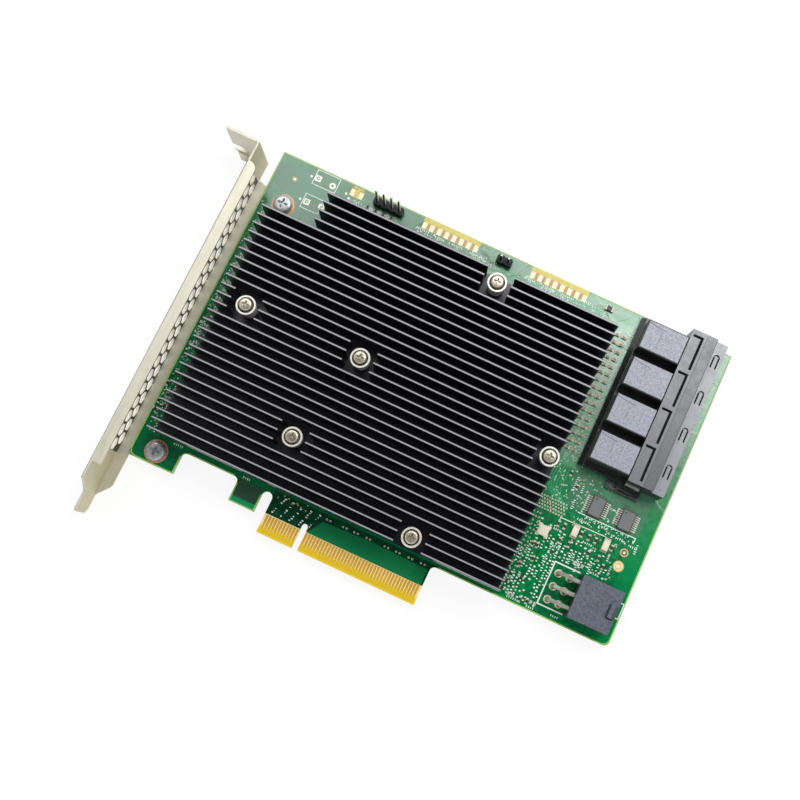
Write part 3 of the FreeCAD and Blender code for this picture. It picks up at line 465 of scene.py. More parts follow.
# name, both colours, roughness, clouds in mm, grain in mm, relief in mm, specular
COPPER_MASK = plain("mask_over_copper", (28, 146, 92), (66, 168, 116), 0.22, 1.5, 0.4, 0.004)
SMOOTH_MASK = plain("smooth_mask", (8, 108, 62), (14, 118, 68), 0.3, 4.0, 0.5, 0.003, 0.2)
PALE_MASK = plain("pale_mask", (138, 170, 148), (184, 204, 186), 0.3, 0.6, 0.3, 0.003, 0.6)
INK_WHITE = plain("ink", (206, 218, 208), (240, 244, 240), 0.6, 0.25, 0.1, 0.002)
TAN_CERAMIC = plain("tan_ceramic", (120, 116, 94), (158, 152, 126), 0.45, 0.6, 0.15, 0.003)
RESISTOR_BLACK = plain("resistor_black", (24, 25, 28), (44, 46, 50), 0.45, 0.6, 0.15, 0.003)
PALE_CERAMIC = plain("pale_ceramic", (206, 198, 172), (232, 226, 206), 0.45, 0.6, 0.15, 0.003)
LAMINATE = plain("bare_laminate", (168, 140, 104), (196, 172, 138), 0.6, 0.6, 0.15, 0.003)
SOLDERED_TAN = [TAN_CERAMIC, SOLDER, SOLDER]
SOLDERED_PALE = [PALE_CERAMIC, SOLDER, SOLDER]
SOLDERED_BLACK = [RESISTOR_BLACK, SOLDER, SOLDER]


# ---- meshes
def add_object(name, data):
    """New object in the scene."""
    made = bpy.data.objects.new(name, data)
    bpy.context.scene.collection.objects.link(made)
    return made


def circle(x, y, radius, z, sides):
    """Level ring of points round an upright axis."""
    turns = [2 * pi * k / sides for k in range(sides)]
    return [(x + radius * cos(t), y + radius * sin(t), z) for t in turns]


class Shape:
    """Collects faces in millimetres and turns them into one piece."""

    def __init__(self):
        self.points = []
        self.faces = []
        self.slots = []
        self.slot = 0

    def rings(self, rings, capped=True):
        """Skin between rings of equally many points, closed at both ends."""
        start = len(self.points)
        count = len(rings[0])
        for ring in rings:
            self.points += ring
        for level in range(len(rings) - 1):
            low = start + level * count
            for k in range(count):
                after = (k + 1) % count
                self.face([low + k, low + after, low + count + after, low + count + k])
        if capped:
            self.face([start + k for k in reversed(range(count))])
            top = start + (len(rings) - 1) * count
            self.face([top + k for k in range(count)])

    def face(self, corners):
        """One face in the current material."""
        self.faces.append(corners)
        self.slots.append(self.slot)

    def block(self, x0, x1, y0, y1, z0, z1, chamfer=0.0):
        """Upright block with chamfered upper edges."""
        def level(inset, z):
            return [(x0 + inset, y0 + inset, z), (x1 - inset, y0 + inset, z),
                    (x1 - inset, y1 - inset, z), (x0 + inset, y1 - inset, z)]
        levels = [level(0, z0), level(0, z1 - chamfer)]
        if chamfer:
            levels.append(level(chamfer, z1))
        self.rings(levels)

    def mark(self, x0, x1, y0, y1, z1=INK):
        """Flat rectangle on the board."""
        self.block(x0, x1, y0, y1, 0, z1)

    def turned(self, x, y, profile, sides):
        """Closed solid turned from (radius, height) points that start and end on the axis or meet."""
        closed = profile[0] == profile[-1]
        self.rings([circle(x, y, r, z, sides) for r, z in profile], capped=not closed)

    def land(self, x, y, outer, inner, z0=0.0, z1=INK, sides=16):
        """Flat ring round a hole."""
        self.turned(x, y, [(inner, z0), (outer, z0), (outer, z1), (inner, z1), (inner, z0)], sides)

    def strip(self, path, width, z0=0.0, z1=INK):
        """Flat band of even width along a path of (x, y) points, mitred at its corners."""
        left, right = [], []
        for i, (x, y) in enumerate(path):
            before = Vector(path[max(i - 1, 0)])
            after = Vector(path[min(i + 1, len(path) - 1)])
            here = Vector((x, y))
            first = (here - before).normalized() if i else (after - here).normalized()
            second = (after - here).normalized() if i < len(path) - 1 else first
            middle = (first + second).normalized()
            side = Vector((-middle.y, middle.x))
            slant = max(MITRE_LIMIT, side.dot(Vector((-first.y, first.x))))
            reach = width / 2 / slant
            left.append(here + side * reach)
            right.append(here - side * reach)
        rings = []
        for a, b in zip(left, right):
            rings.append([(a.x, a.y, z0), (b.x, b.y, z0), (b.x, b.y, z1), (a.x, a.y, z1)])
        self.rings(rings)

    def track(self, path, width, z1=INK):
        """Flat band along (u, y) points of the board."""
        self.strip([(at(u), y) for u, y in path], width, 0, z1)

    def tube(self, path, radius, sides=8):
        """Round bar along a smooth path of 3-D points."""
        rings = []
        spots = [Vector(p) for p in path]
        for i, spot in enumerate(spots):
            along = (spots[min(i + 1, len(spots) - 1)] - spots[max(i - 1, 0)]).normalized()
            across = along.cross(Vector((0, 0, 1)))
            across = across.normalized() if across.length > TINY else Vector((1, 0, 0))
            other = along.cross(across)
            ring = []
            for k in range(sides):
                turn = 2 * pi * k / sides
                ring.append(tuple(spot + radius * (cos(turn) * across + sin(turn) * other)))
            rings.append(ring)
        self.rings(rings)

    def piece(self, name, materials, slot, smooth=False):
        """Make the object and let it ride on the card; slot is not used."""
        mesh = bpy.data.meshes.new(name)
        mesh.from_pydata([tuple(c * MM for c in p) for p in self.points], [], self.faces)
        for material in materials:
            mesh.materials.append(material)
        mesh.polygons.foreach_set("material_index", self.slots)
        mesh.validate()
        mesh.update()
        if smooth:
            mesh.shade_smooth()
            mesh.set_sharp_from_angle(angle=SHARP_ANGLE)
        made = add_object(name, mesh)
        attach(made, "root")
        return made


# ---- CAD nodes
def dress_cad_nodes():
    """Give every CAD node its material."""
    groups = (
        (MASK, "board"), (NICKEL, "bracket"), (BLACK_ALUMINIUM, "heatsink"), (COPPER, "screw_lands"),
        (FINGER_GOLD, "edge_contacts_front", "edge_contacts_back"),
        (PAD_GOLD, "gold_pads", "port_contacts"), (SOLDER, "solder_joints"),
        (TIN, "press_nuts", "port_hold_down", "small_chip_leads"), (LEAD_TIN, "port_leads"),
        (PORT_PLASTIC, "drive_port_1", "drive_port_2", "drive_port_3", "drive_port_4"),
        (BASE_PLASTIC, "port_base"), (SHELL_PLASTIC, "port_shell"),
        (SOCKET_PLASTIC, "power_socket"), (POWER_TIN, "power_pins"),
        (BLACK_PLASTIC, "jumper4_base", "jumper2_base"), (PIN_METAL, "jumper4_pins", "jumper2_pins"),
        (CHIP_BLACK, "controller_chip_1", "controller_chip_2", "controller_chip_3"),
        (CHIP_BLACK, "small_chip_1", "small_chip_2"),
        (PAD_GREY, "thermal_pad_1", "thermal_pad_2", "thermal_pad_3"),
        (STEEL, "spring_screws", "spring_cups", "bracket_screws"), (SPRING, "springs"),
        (PALE_CERAMIC, "clock_can"), (TAN_CERAMIC, "large_capacitors", "coupling_capacitors"),
        (RESISTOR_BLACK, "resistors"),
    )
    for material, *nodes in groups:
        for node in nodes:
            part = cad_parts[node]
            part.data.materials.clear()
            part.data.materials.append(material)


# ---- printed and plated marks
def outline_frame(shape, u0, u1, y0, y1, width):
    """Closed rectangular line on the board."""
    half = width / 2
    shape.mark(at(u0) - half, at(u1) + half, y0 - half, y0 + half)
    shape.mark(at(u0) - half, at(u1) + half, y1 - half, y1 + half)
    shape.mark(at(u0) - half, at(u0) + half, y0 + half, y1 - half)
    shape.mark(at(u1) - half, at(u1) + half, y0 + half, y1 - half)


def label_marks(shape, rng, u, y, count, along=True):
    """Row of short dashes that stands for a part's printed reference, with no lettering."""
    size = 0.7
    pitch = 0.665
    for k in range(count):
        step = k * pitch
        x0 = at(u) + (step if along else 0)
        y0 = y - (0 if along else step)
        tall = size * rng.uniform(0.75, 1.0)
        wide = size * rng.uniform(0.25, 0.42)
        if along:
            shape.mark(x0, x0 + wide, y0, y0 + tall)
        else:
            shape.mark(x0, x0 + tall, y0 - wide, y0)


def make_silkscreen():
    """White printing: part outlines, pin-one dots, reference marks and scattered spots."""
    rng = random.Random(3)
    shape = Shape()
    empty_parts = ((12.4, 20.2, 105.5, 110.5), (12.3, 18.4, 97.0, 101.8))
    pin_one_dots = ((11.3, 107.5), (11.3, 99.3), (23.6, 107.1), (25.0, 106.0))
    outlines = (([(139.4, 29.7), (131.0, 29.7), (131.0, 16.1), (139.4, 16.1)], 0.42),
                ([(152.9, 26.6), (155.2, 26.6), (155.2, 21.8), (152.9, 21.8)], 0.3),
                ([(131.1, 46.2), (150.5, 46.2), (150.5, 45.0)], 0.26),
                ([(127.1, 40.6), (127.1, 42.5), (142.1, 42.9)], 0.24))
    # u, y and number of dashes
    level_marks = ((25.7, 105.6, 5), (48.4, 106.4, 7), (55.2, 106.0, 5), (60.8, 106.2, 6),
                   (67.0, 106.1, 8), (86.0, 106.3, 6), (92.5, 106.0, 6), (98.8, 106.2, 7),
                   (106.2, 107.4, 4), (111.0, 108.9, 3), (11.2, 13.2, 5), (34.6, 12.8, 4),
                   (136.2, 14.2, 4), (128.4, 13.6, 4), (121.8, 13.9, 6), (141.6, 30.8, 5),
                   (150.0, 43.0, 4), (144.8, 43.6, 4), (121.0, 37.9, 3), (126.4, 38.4, 4),
                   (128.2, 33.4, 4), (136.2, 38.3, 5), (131.9, 44.0, 6))
    upright_marks = ((127.6, 34.6, 5), (130.0, 34.0, 6), (134.4, 34.2, 6), (137.0, 33.4, 7),
                     (141.0, 33.9, 6), (144.9, 38.6, 4), (146.8, 35.4, 5), (151.6, 44.6, 5),
                     (121.2, 30.6, 4), (127.2, 30.4, 5), (126.8, 56.0, 7), (129.4, 54.2, 4),
                     (128.6, 49.2, 5))
    # u0, u1, y0, y1, number of spots, smallest and largest spot
    spotted = ((48.0, 76.0, 104.4, 106.9, 90, 0.15, 0.4), (86.0, 114.0, 104.4, 107.3, 110, 0.15, 0.45),
               (25.5, 44.0, 104.6, 106.2, 40, 0.15, 0.4), (117.5, 133.0, 43.0, 60.0, 90, 0.15, 0.4),
               (133.0, 150.5, 43.2, 46.0, 60, 0.2, 0.45), (139.0, 148.5, 47.2, 52.0, 26, 0.2, 0.4),
               (0.8, 4.6, 14.0, 40.0, 80, 0.15, 0.45), (0.9, 5.0, 40.0, 78.0, 170, 0.2, 0.6),
               (0.9, 5.0, 78.0, 92.0, 40, 0.15, 0.4))
    for u0, u1, y0, y1 in empty_parts:
        outline_frame(shape, u0, u1, y0, y1, 0.22)
    for u, y in pin_one_dots:
        shape.turned(at(u), y, [(0.42, 0), (0.42, INK)], 12)
    for path, width in outlines:
        shape.track(path, width)
    for u, y, count in level_marks:
        label_marks(shape, rng, u, y, count)
    for u in (32.9, 35.8, 38.6):
        shape.land(at(u), 105.8, 0.55, 0.25, sides=12)
    for u, y, count in upright_marks:
        label_marks(shape, rng, u, y, count, along=False)
    for column in range(5):
        for row in range(8):
            u = 47.0 + column * 2.9 + row * 0.26 + rng.uniform(-0.15, 0.15)
            y = 7.1 + row * 0.72
            if rng.random() < 0.75:
                shape.mark(at(u), at(u) + rng.uniform(0.25, 0.75), y, y + rng.uniform(0.22, 0.5))
    for u0, u1, y0, y1, count, least, most in spotted:
        for _ in range(count):
            x = at(rng.uniform(u0, u1))
            y = rng.uniform(y0, y1)
            shape.mark(x, x + rng.uniform(least, most), y, y + rng.uniform(least, most))
    shape.piece("silkscreen", [INK_WHITE], "solder_mask")


def make_board_rim():
    """Pale strip that follows the board's outline."""
    shape = Shape()
    inset = 0.22
    width = 0.42
    top = BOARD.y1 - inset
    low = RIGHT_LOW_Y + inset
    right = LENGTH - inset
    tab = TAB_Y + inset
    main = [(99.6, low), (153.7, low), (154.9, low + 0.6), (right, low + 1.8), (right, top),
            (inset, top), (inset, tab + 1.9), (0.75, tab + 0.55), (2.0, tab),
            (14.9 - inset, tab), (14.9 - inset, 10.8)]
    step = [(16.5, 12.3 + inset), (32.0, 12.3 + inset)]
    hook = [(33.5 + inset, 10.8), (33.5 + inset, tab), (42.0 - inset, tab), (42.0 - inset, 10.6)]
    for path in (main, step, hook):
        shape.track(path, width, THIN_INK)
    shape.piece("board_rim", [RIM], "solder_mask")


def make_pad_clusters():
    """Crowded little lands of the lower right corner, in jittered columns."""
    rng = random.Random(23)
    shape = Shape()
    # u0, u1, y0, y1, column step, row step
    fields = ((118.6, 130.8, 14.4, 30.2, 1.15, 1.0), (121.5, 126.5, 31.0, 40.0, 1.2, 1.15),
              (127.4, 148.2, 30.6, 35.4, 1.3, 1.0), (128.4, 147.0, 36.8, 38.4, 1.5, 1.1))
    for u0, u1, y0, y1, step_u, step_y in fields:
        u = u0
        while u < u1:
            y = y0 + rng.uniform(0, 0.6)
            while y < y1:
                if rng.random() < 0.66:
                    x = at(u + rng.uniform(-0.2, 0.2))
                    wide = rng.uniform(0.4, 0.75)
                    shape.mark(x, x + wide, y, y + rng.uniform(0.28, 0.5))
                y += step_y * rng.uniform(0.8, 1.1)
            u += step_u
    shape.piece("small_lands", [INK_WHITE], "tin")


def make_column_marks():
    """Pale rings and short bars round each group of coupling capacitors beside the ports."""
    rng = random.Random(31)
    shape = Shape()
    low_y = 60.8
    pitch = 2.6
    for row in range(17):
        y = low_y + row * pitch
        for u in (118.2, 120.8, 123.9):
            x = at(u + rng.uniform(-0.15, 0.15))
            shape.land(x, y + rng.uniform(-0.15, 0.15), 0.66, 0.42)
        for _ in range(5):
            x = at(rng.uniform(117.2, 125.0))
            spot = y + rng.uniform(0.9, 1.7)
            shape.mark(x, x + rng.uniform(0.3, 0.7), spot, spot + 0.28)
    shape.track([(125.6, 59.5), (125.6, 104.6)], 0.28)
    shape.piece("column_marks", [PALE_MASK], "solder_mask")


def make_edge_gold():
    """Gold bars along the top edge, bare laminate between the pads and the bar of the pad pair."""
    shape = Shape()
    laminate = Shape()
    top = BOARD.y1 - 0.05
    bar = top - 1.55
    for u0, u1 in STRIP_PADS:
        shape.mark(at(u0), at(u1), bar, top)
        laminate.mark(at(u0) + 0.3, at(u1) - 0.3, top - 3.9, bar, THIN_INK)
    middle = at(26.75)
    for half, low, high in ((1.75, 1.15, 0.55), (0.45, 3.3, 1.15), (1.5, 4.0, 3.3)):
        shape.mark(middle - half, middle + half, top - low, top - high)
    laminate.mark(middle - 2.2, middle + 2.2, top - 3.6, top - 1.25, THIN_INK)
    shape.piece("edge_gold", [EDGE_GOLD], "gold")
    laminate.piece("bare_laminate", [LAMINATE], "solder_mask")


def make_lands():
    """Bare tinned lands of the parts that were left out, ringed hole and test pad rings."""
    shape = Shape()
    for u, y in ((13.6, 107.8), (13.6, 99.3)):
        outline_frame(shape, u - 0.75, u + 0.75, y - 0.75, y + 0.75, 0.5)
        shape.mark(at(u) - 0.2, at(u) + 0.25, y - 0.25, y + 0.25)
    for u, y in ((18.7, 107.5), (18.5, 99.8)):
        shape.land(at(u), y, 1.05, 0.45, sides=20)
    hole = (at(7.0), 104.4)
    shape.turned(*hole, [(0.5, 0), (0.5, INK)], 20)
    for u, y, count in ((121.6, 14.6, 2), (127.4, 15.0, 3), (136.0, 31.2, 3)):
        for k in range(count):
            shape.mark(at(u) + k * 1.3, at(u) + k * 1.3 + 0.8, y, y + 1.1, INK * 2)
    shape.piece("tinned_lands", [TIN], "tin")
    test_x = at(149.05)
    copper_y = 40.85
    plated_y = 36.35
    pad_z = 0.05
    ring_z = 0.07
    rings = Shape()
    rings.land(test_x, copper_y, 1.3, 0.9, pad_z, ring_z, 32)
    rings.piece("copper_rings", [COPPER], "copper")
    brown = Shape()
    brown.land(*hole, 0.95, 0.72, sides=24)
    brown.piece("brown_ring", [LAMINATE], "solder_mask")
    mask = Shape()
    mask.land(test_x, copper_y, 1.75, 1.3, 0, 0.075, 32)
    mask.land(test_x, copper_y, 0.9, 0.45, pad_z, 0.068, 32)
    mask.piece("test_pad_mask", [MASK], "solder_mask")
    plated = Shape()
    plated.land(test_x, plated_y, 1.72, 1.4, pad_z, ring_z, 32)
    plated.land(test_x, plated_y, 0.95, 0.7, pad_z, ring_z, 32)
    plated.piece("test_pad_rings", [EDGE_GOLD], "gold")


def via(shape, x, y, size):
    """Plated hole with its ring, as seen from both sides, and a black disc in its bore as painted shade of
    the hole.
    """
    bore = size * 0.45
    shape.slot = 0
    shape.land(x, y, size, bore, sides=10)
    shape.land(x, y, size, bore, BOARD.z0 - INK, BOARD.z0, 10)
    # slot 1: black disc in the bore, painted shade of the hole
    shape.slot = 1
    shape.turned(x, y, [(bore, 0), (bore, INK / 3)], 8)


def make_vias():
    """Plated holes: pairs above the fingers, a close grid by the bend of the tracks and loose ones."""
    rng = random.Random(11)
    shape = Shape()
    # number, u0, u1, y0, y1, radius
    loose = ((46, 127.5, 148.0, 31.0, 46.0, 0.22), (34, 122.0, 136.0, 47.5, 57.5, 0.24),
             (26, 50.0, 110.0, 104.0, 106.2, 0.22), (24, 0.9, 4.8, 14.5, 96.0, 0.24),
             (14, 46.5, 62.0, 11.6, 13.6, 0.22))
    for u in (63.6, 69.0, 72.7, 76.8, 82.8, 86.6, 90.8, 94.9):
        for side in (-0.6, 0.6):
            via(shape, at(u + side), 12.2, 0.33)
    for row in range(5):
        for column in range(10):
            via(shape, at(118.9 + column * 0.92 + (row % 2) * 0.45), 46.7 - row * 0.95, 0.3)
    for row in range(17):
        climb = row * 1.35
        for column in range(3):
            u = 118.0 + column * 1.25 + rng.uniform(-0.2, 0.2) + climb * 0.03
            via(shape, at(u), 19.5 + climb, 0.26)
    for row in range(30):
        for u in (117.2, 122.6):
            via(shape, at(u + rng.uniform(-0.25, 0.25)), 61.2 + row * 1.4, 0.3)
    for count, u0, u1, y0, y1, size in loose:
        for _ in range(count):
            via(shape, at(rng.uniform(u0, u1)), rng.uniform(y0, y1), size)
    shape.piece("vias", [SOLDER, BLACK_PLASTIC], "tin")


def make_tracks():
    """Tracks under the mask: the bundle from the ports round the heatsink's corner, and short runs."""
    shape = Shape()
    for k in range(7):
        u = 118.0 + k * 0.92
        bend = 52.5 - k * 0.35
        path = [(u, 60.5), (u, bend), (u + 0.5, bend - 1.3), (u + 1.6, bend - 2.6),
                (u + 3.0, bend - 4.1), (u + 3.9, bend - 4.7)]
        shape.track(path, 0.3, THIN_INK)
    for k in range(4):
        y = 104.2 + k * 0.55
        path = [(74.0 + k, y), (96.0 - k, y), (97.2 - k, y + 1.2), (113.0, y + 1.2)]
        shape.track(path, 0.24, THIN_INK)
    for k in range(6):
        y = 23.0 + k * 11.0
        shape.track([(1.0, y), (1.0, y + 4.0), (2.2, y + 5.2), (2.2, y + 9.0)], 0.24, THIN_INK)
        shape.track([(2.0, y - 1), (2.0, y + 3.0), (3.6, y + 4.6), (3.6, y + 8.0)], 0.24, THIN_INK)
    for k in range(3):
        u = 136.0 + k * 1.1
        shape.track([(u, 56.5), (u, 53.5), (u - 1.6, 51.9)], 0.26, THIN_INK)
    shape.piece("tracks", [COPPER_MASK], "solder_mask")
    plain = Shape()
    outline = [(59.2, 6.15), (96.9, 6.15), (96.9, 11.3), (77.5, 11.7), (62.3, 11.0)]
    low = [(at(u), y, 0) for u, y in outline]
    high = [(x, y, THIN_INK) for x, y, z in low]
    plain.rings([low, high])
    plain.piece("smooth_mask_field", [SMOOTH_MASK], "solder_mask")


# ---- small parts
def chip_part(shape, x, y, length, width, height, upright):
    """Two-ended part: body, tinned ends and a solder fillet at each end."""
    def slab(start, end, half, z0, z1, chamfer):
        """Block between two places along the part, with half its width."""
        if upright:
            shape.block(x - half, x + half, y + start, y + end, z0, z1, chamfer)
        else:
            shape.block(x + start, x + end, y - half, y + half, z0, z1, chamfer)
    body = length * 0.62 / 2
    tip = length / 2
    foot = tip + width * 0.28
    shape.slot = 0
    slab(-body, body, width / 2 - 0.02, 0.02, height - 0.02, 0.05)
    for side in (-1, 1):
        shape.slot = 1
        start, end = sorted((side * body, side * tip))
        slab(start, end, width / 2, 0.02, height, 0.06)
        shape.slot = 2
        start, end = sorted((side * tip, side * foot))
        slab(start, end, width / 2 + 0.05, 0, height * 0.45, height * 0.2)


def node_centres(node):
    """(x, y) centre of each separate solid of a node, found from its mesh."""
    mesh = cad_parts[node].data
    solids = []
    for face in mesh.polygons:
        joined = {tuple(round(c / MM, 5) for c in mesh.vertices[k].co) for k in face.vertices}
        apart = [solid for solid in solids if not solid & joined]
        joined = joined.union(*(solid for solid in solids if solid & joined))
        solids = apart + [joined]
    centres = []
    for solid in solids:
        xs = [point[0] for point in solid]
        ys = [point[1] for point in solid]
        centres.append(((min(xs) + max(xs)) / 2, (min(ys) + max(ys)) / 2))
    return sorted(centres)


def chip_row(node, length, width, height, upright):
    """Two-ended parts in the places of a CAD node's solids."""
    shape = Shape()
    for x, y in node_centres(node):
        chip_part(shape, x, y, length, width, height, upright)
    return shape


def make_small_parts():
    """Detailed bodies for the capacitors and resistors that the CAD model holds as plain blocks."""
    columns = chip_row("coupling_capacitors", 1.5, 0.8, 0.68, False)
    made = columns.piece("coupling_capacitor_bodies", SOLDERED_TAN, "ceramic")
    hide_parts("coupling_capacitors")
    large = chip_row("large_capacitors", 3.5, 1.95, 1.48, True)
    made = large.piece("large_capacitor_bodies", SOLDERED_PALE, "ceramic")
    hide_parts("large_capacitors")
    small = chip_row("resistors", 1.65, 0.88, 0.48, True)
    made = small.piece("resistor_bodies", SOLDERED_BLACK, "resistor_black")
    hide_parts("resistors")
    # u, y, and whether it stands upright
    places = ((2.6, 26.0, True), (3.7, 26.0, True), (3.4, 22.8, False), (1.1, 23.4, True),
              (4.3, 29.1, True), (1.0, 29.2, True), (1.3, 20.9, False), (4.3, 16.8, True),
              (121.4, 24.5, True), (123.5, 21.1, False), (120.3, 20.7, True), (119.8, 18.3, False),
              (119.4, 15.9, False), (125.7, 14.9, True), (127.9, 15.2, True), (144.7, 34.1, True),
              (123.9, 31.8, True), (122.5, 31.7, True), (124.4, 27.6, True), (136.9, 52.0, False),
              (127.9, 53.0, True), (124.6, 56.2, True))
    loose = Shape()
    for u, y, upright in places:
        chip_part(loose, at(u), y, 1.5, 0.8, 0.5, upright)
    chip_part(loose, at(114.4), 108.6, 2.5, 1.6, 0.9, False)
    loose.piece("loose_chip_parts", SOLDERED_BLACK, "resistor_black")


def make_clock_detail():
    """Cream can with a lid and four corner pads."""
    can = Extent("clock_can")
    shape = Shape()
    inset = 0.25
    shape.block(can.x0 + inset, can.x1 - inset, can.y0 + inset, can.y1 - inset,
                can.z1 - 0.05, can.z1 + 0.12, 0.06)
    for side_x in (-1, 1):
        for side_y in (-1, 1):
            x = can.x + side_x * (can.x1 - can.x0) * 0.42
            y = can.y + side_y * (can.y1 - can.y0) * 0.46
            shape.block(x - 0.6, x + 0.6, y - 0.55, y + 0.55, 0, 0.35, 0.12)
    shape.piece("clock_lid_and_pads", [PALE_CERAMIC], "tin")


def make_chip_details():
    """Pin-one dimple and parting line on the small chips, and their land pattern."""
    shape = Shape()
    lands = Shape()
    inset = 0.2
    lead_pitch = 0.65
    for node in ("small_chip_1", "small_chip_2"):
        chip = Extent(node)
        z = chip.z1
        left, right = chip.x0 + inset, chip.x1 - inset
        low, high = chip.y0 + inset, chip.y1 - inset
        shape.slot = 1
        shape.strip([(left, low), (right, low), (right, high), (left, high), (left, low)], 0.34, z, z + 0.012)
        shape.slot = 0
        shape.turned(chip.x0 + 1.1, chip.y1 - 1.1, [(0.3, z), (0.3, z + 0.012)], 16)
        for side in (-1, 1):
            x = chip.x + side * ((chip.x1 - chip.x0) / 2 + 1.15)
            for k in range(8):
                y = chip.y + (k - 3.5) * lead_pitch
                lands.mark(x - 0.45, x + 0.45, y - 0.19, y + 0.19)
    shape.piece("small_chip_marks", [RESISTOR_BLACK, CHIP_EDGE], "chip_black")
    lands.piece("small_chip_lands", [TIN], "tin")


# ---- screws, cups and springs
def screw_head(shape, x, y, z0, radius, height, crown, cross, sides=40):
    """Pan head whose top is parted by a cross recess with sloping walls."""
    top = z0 + height
    profile = [(radius * 0.98, z0), (radius, z0 + 0.1), (radius, top - crown)]
    steps = 4
    for k in range(1, steps + 1):
        turn = pi / 2 * k / steps
        profile.append((radius - crown + crown * cos(turn), top - crown + crown * sin(turn)))
    arm, waist, depth = cross

    def recess(share, z):
        """Cross-shaped ring, at a share of the recess's full width."""
        ring = []
        for k in range(sides):
            turn = 2 * pi * k / sides
            r = share * (waist + (arm - waist) * abs(cos(2 * turn)) ** 3)
            ring.append((x + r * cos(turn), y + r * sin(turn), z))
        return ring
    rings = [circle(x, y, r, z, sides) for r, z in profile]
    shape.rings(rings + [recess(1.0, top), recess(0.45, top - depth)])


def make_spring_screws():
    """Screws with turned cups and round-wire springs; a dark sheet inside each cup is painted shade."""
    cup = Extent("spring_cups")
    screw = Extent("spring_screws")
    coil = Extent("springs")
    heads = Shape()
    cups = Shape()
    wires = Shape()
    floor = cup.z1 - 1.1
    shank = 1.5
    bore = 1.7
    outer = 3.05
    inner = outer - 0.67
    shade_radius = outer - 0.68
    lip = 0.12
    turns = 4.5
    steps = 20
    coil_radius = 2.35
    wire = 0.26
    wire_room = wire + 0.01
    seat = 2.02
    for x, y in node_centres("spring_cups"):
        heads.turned(x, y, [(1.3, screw.z0), (shank, screw.z0 + 0.2), (shank, floor + 0.1)], 24)
        screw_head(heads, x, y, floor, 2.0, screw.z1 - floor, 0.55, (1.25, 0.45, 0.7))
        cups.slot = 0
        cups.turned(x, y, [(bore, cup.z0), (outer - 0.15, cup.z0), (outer, cup.z0 + 0.15),
                           (outer, cup.z1 - lip), (outer - lip, cup.z1), (inner + lip, cup.z1),
                           (inner, cup.z1 - lip), (inner, floor), (bore, floor), (bore, cup.z0)], 48)
        # slot 1: dark sheet over the cup's floor and inner wall, painted shade inside the cup
        cups.slot = 1
        cups.turned(x, y, [(seat, floor), (shade_radius, floor), (shade_radius, cup.z1 - 0.3),
                           (shade_radius - 0.03, cup.z1 - 0.3), (shade_radius - 0.05, floor + 0.02),
                           (seat, floor + 0.02), (seat, floor)], 48)
        path = []
        for k in range(int(turns * steps) + 1):
            turn = 2 * pi * k / steps
            rise = (coil.z1 - coil.z0 - 2 * wire_room) * k / (turns * steps)
            z = coil.z0 + wire_room + rise
            path.append((x + coil_radius * cos(turn), y + coil_radius * sin(turn), z))
        wires.tube(path, wire)
    made = heads.piece("spring_screw_bodies", [STEEL], "screw_steel", smooth=True)
    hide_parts("spring_screws")
    made = cups.piece("spring_cup_bodies", [CUP_STEEL, CUP_SHADE], "screw_steel", smooth=True)
    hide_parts("spring_cups")
    made = wires.piece("spring_wires", [SPRING], "spring_steel", smooth=True)
    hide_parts("springs")


def make_bracket_screws():
    """Pan-head screws and their ringed lands."""
    screw = Extent("bracket_screws")
    land = Extent("screw_lands")
    heads = Shape()
    for x, y in node_centres("bracket_screws"):
        heads.turned(x, y, [(1.2, screw.z0), (1.5, screw.z0 + 0.25), (1.5, land.z1 + 0.2)], 24)
        screw_head(heads, x, y, land.z1, 3.0, screw.z1 - land.z1, 0.95, (1.75, 0.6, 0.9), 56)
    made = heads.piece("bracket_screw_bodies", [MOUNT_STEEL], "screw_steel", smooth=True)
    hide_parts("bracket_screws")
    rings = Shape()
    for x, y in node_centres("screw_lands"):
        rings.land(x, y, 3.6, 1.7, 0, land.z1, 56)
    made = rings.piece("screw_land_rings", [COPPER], "copper", smooth=True)
    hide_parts("screw_lands")


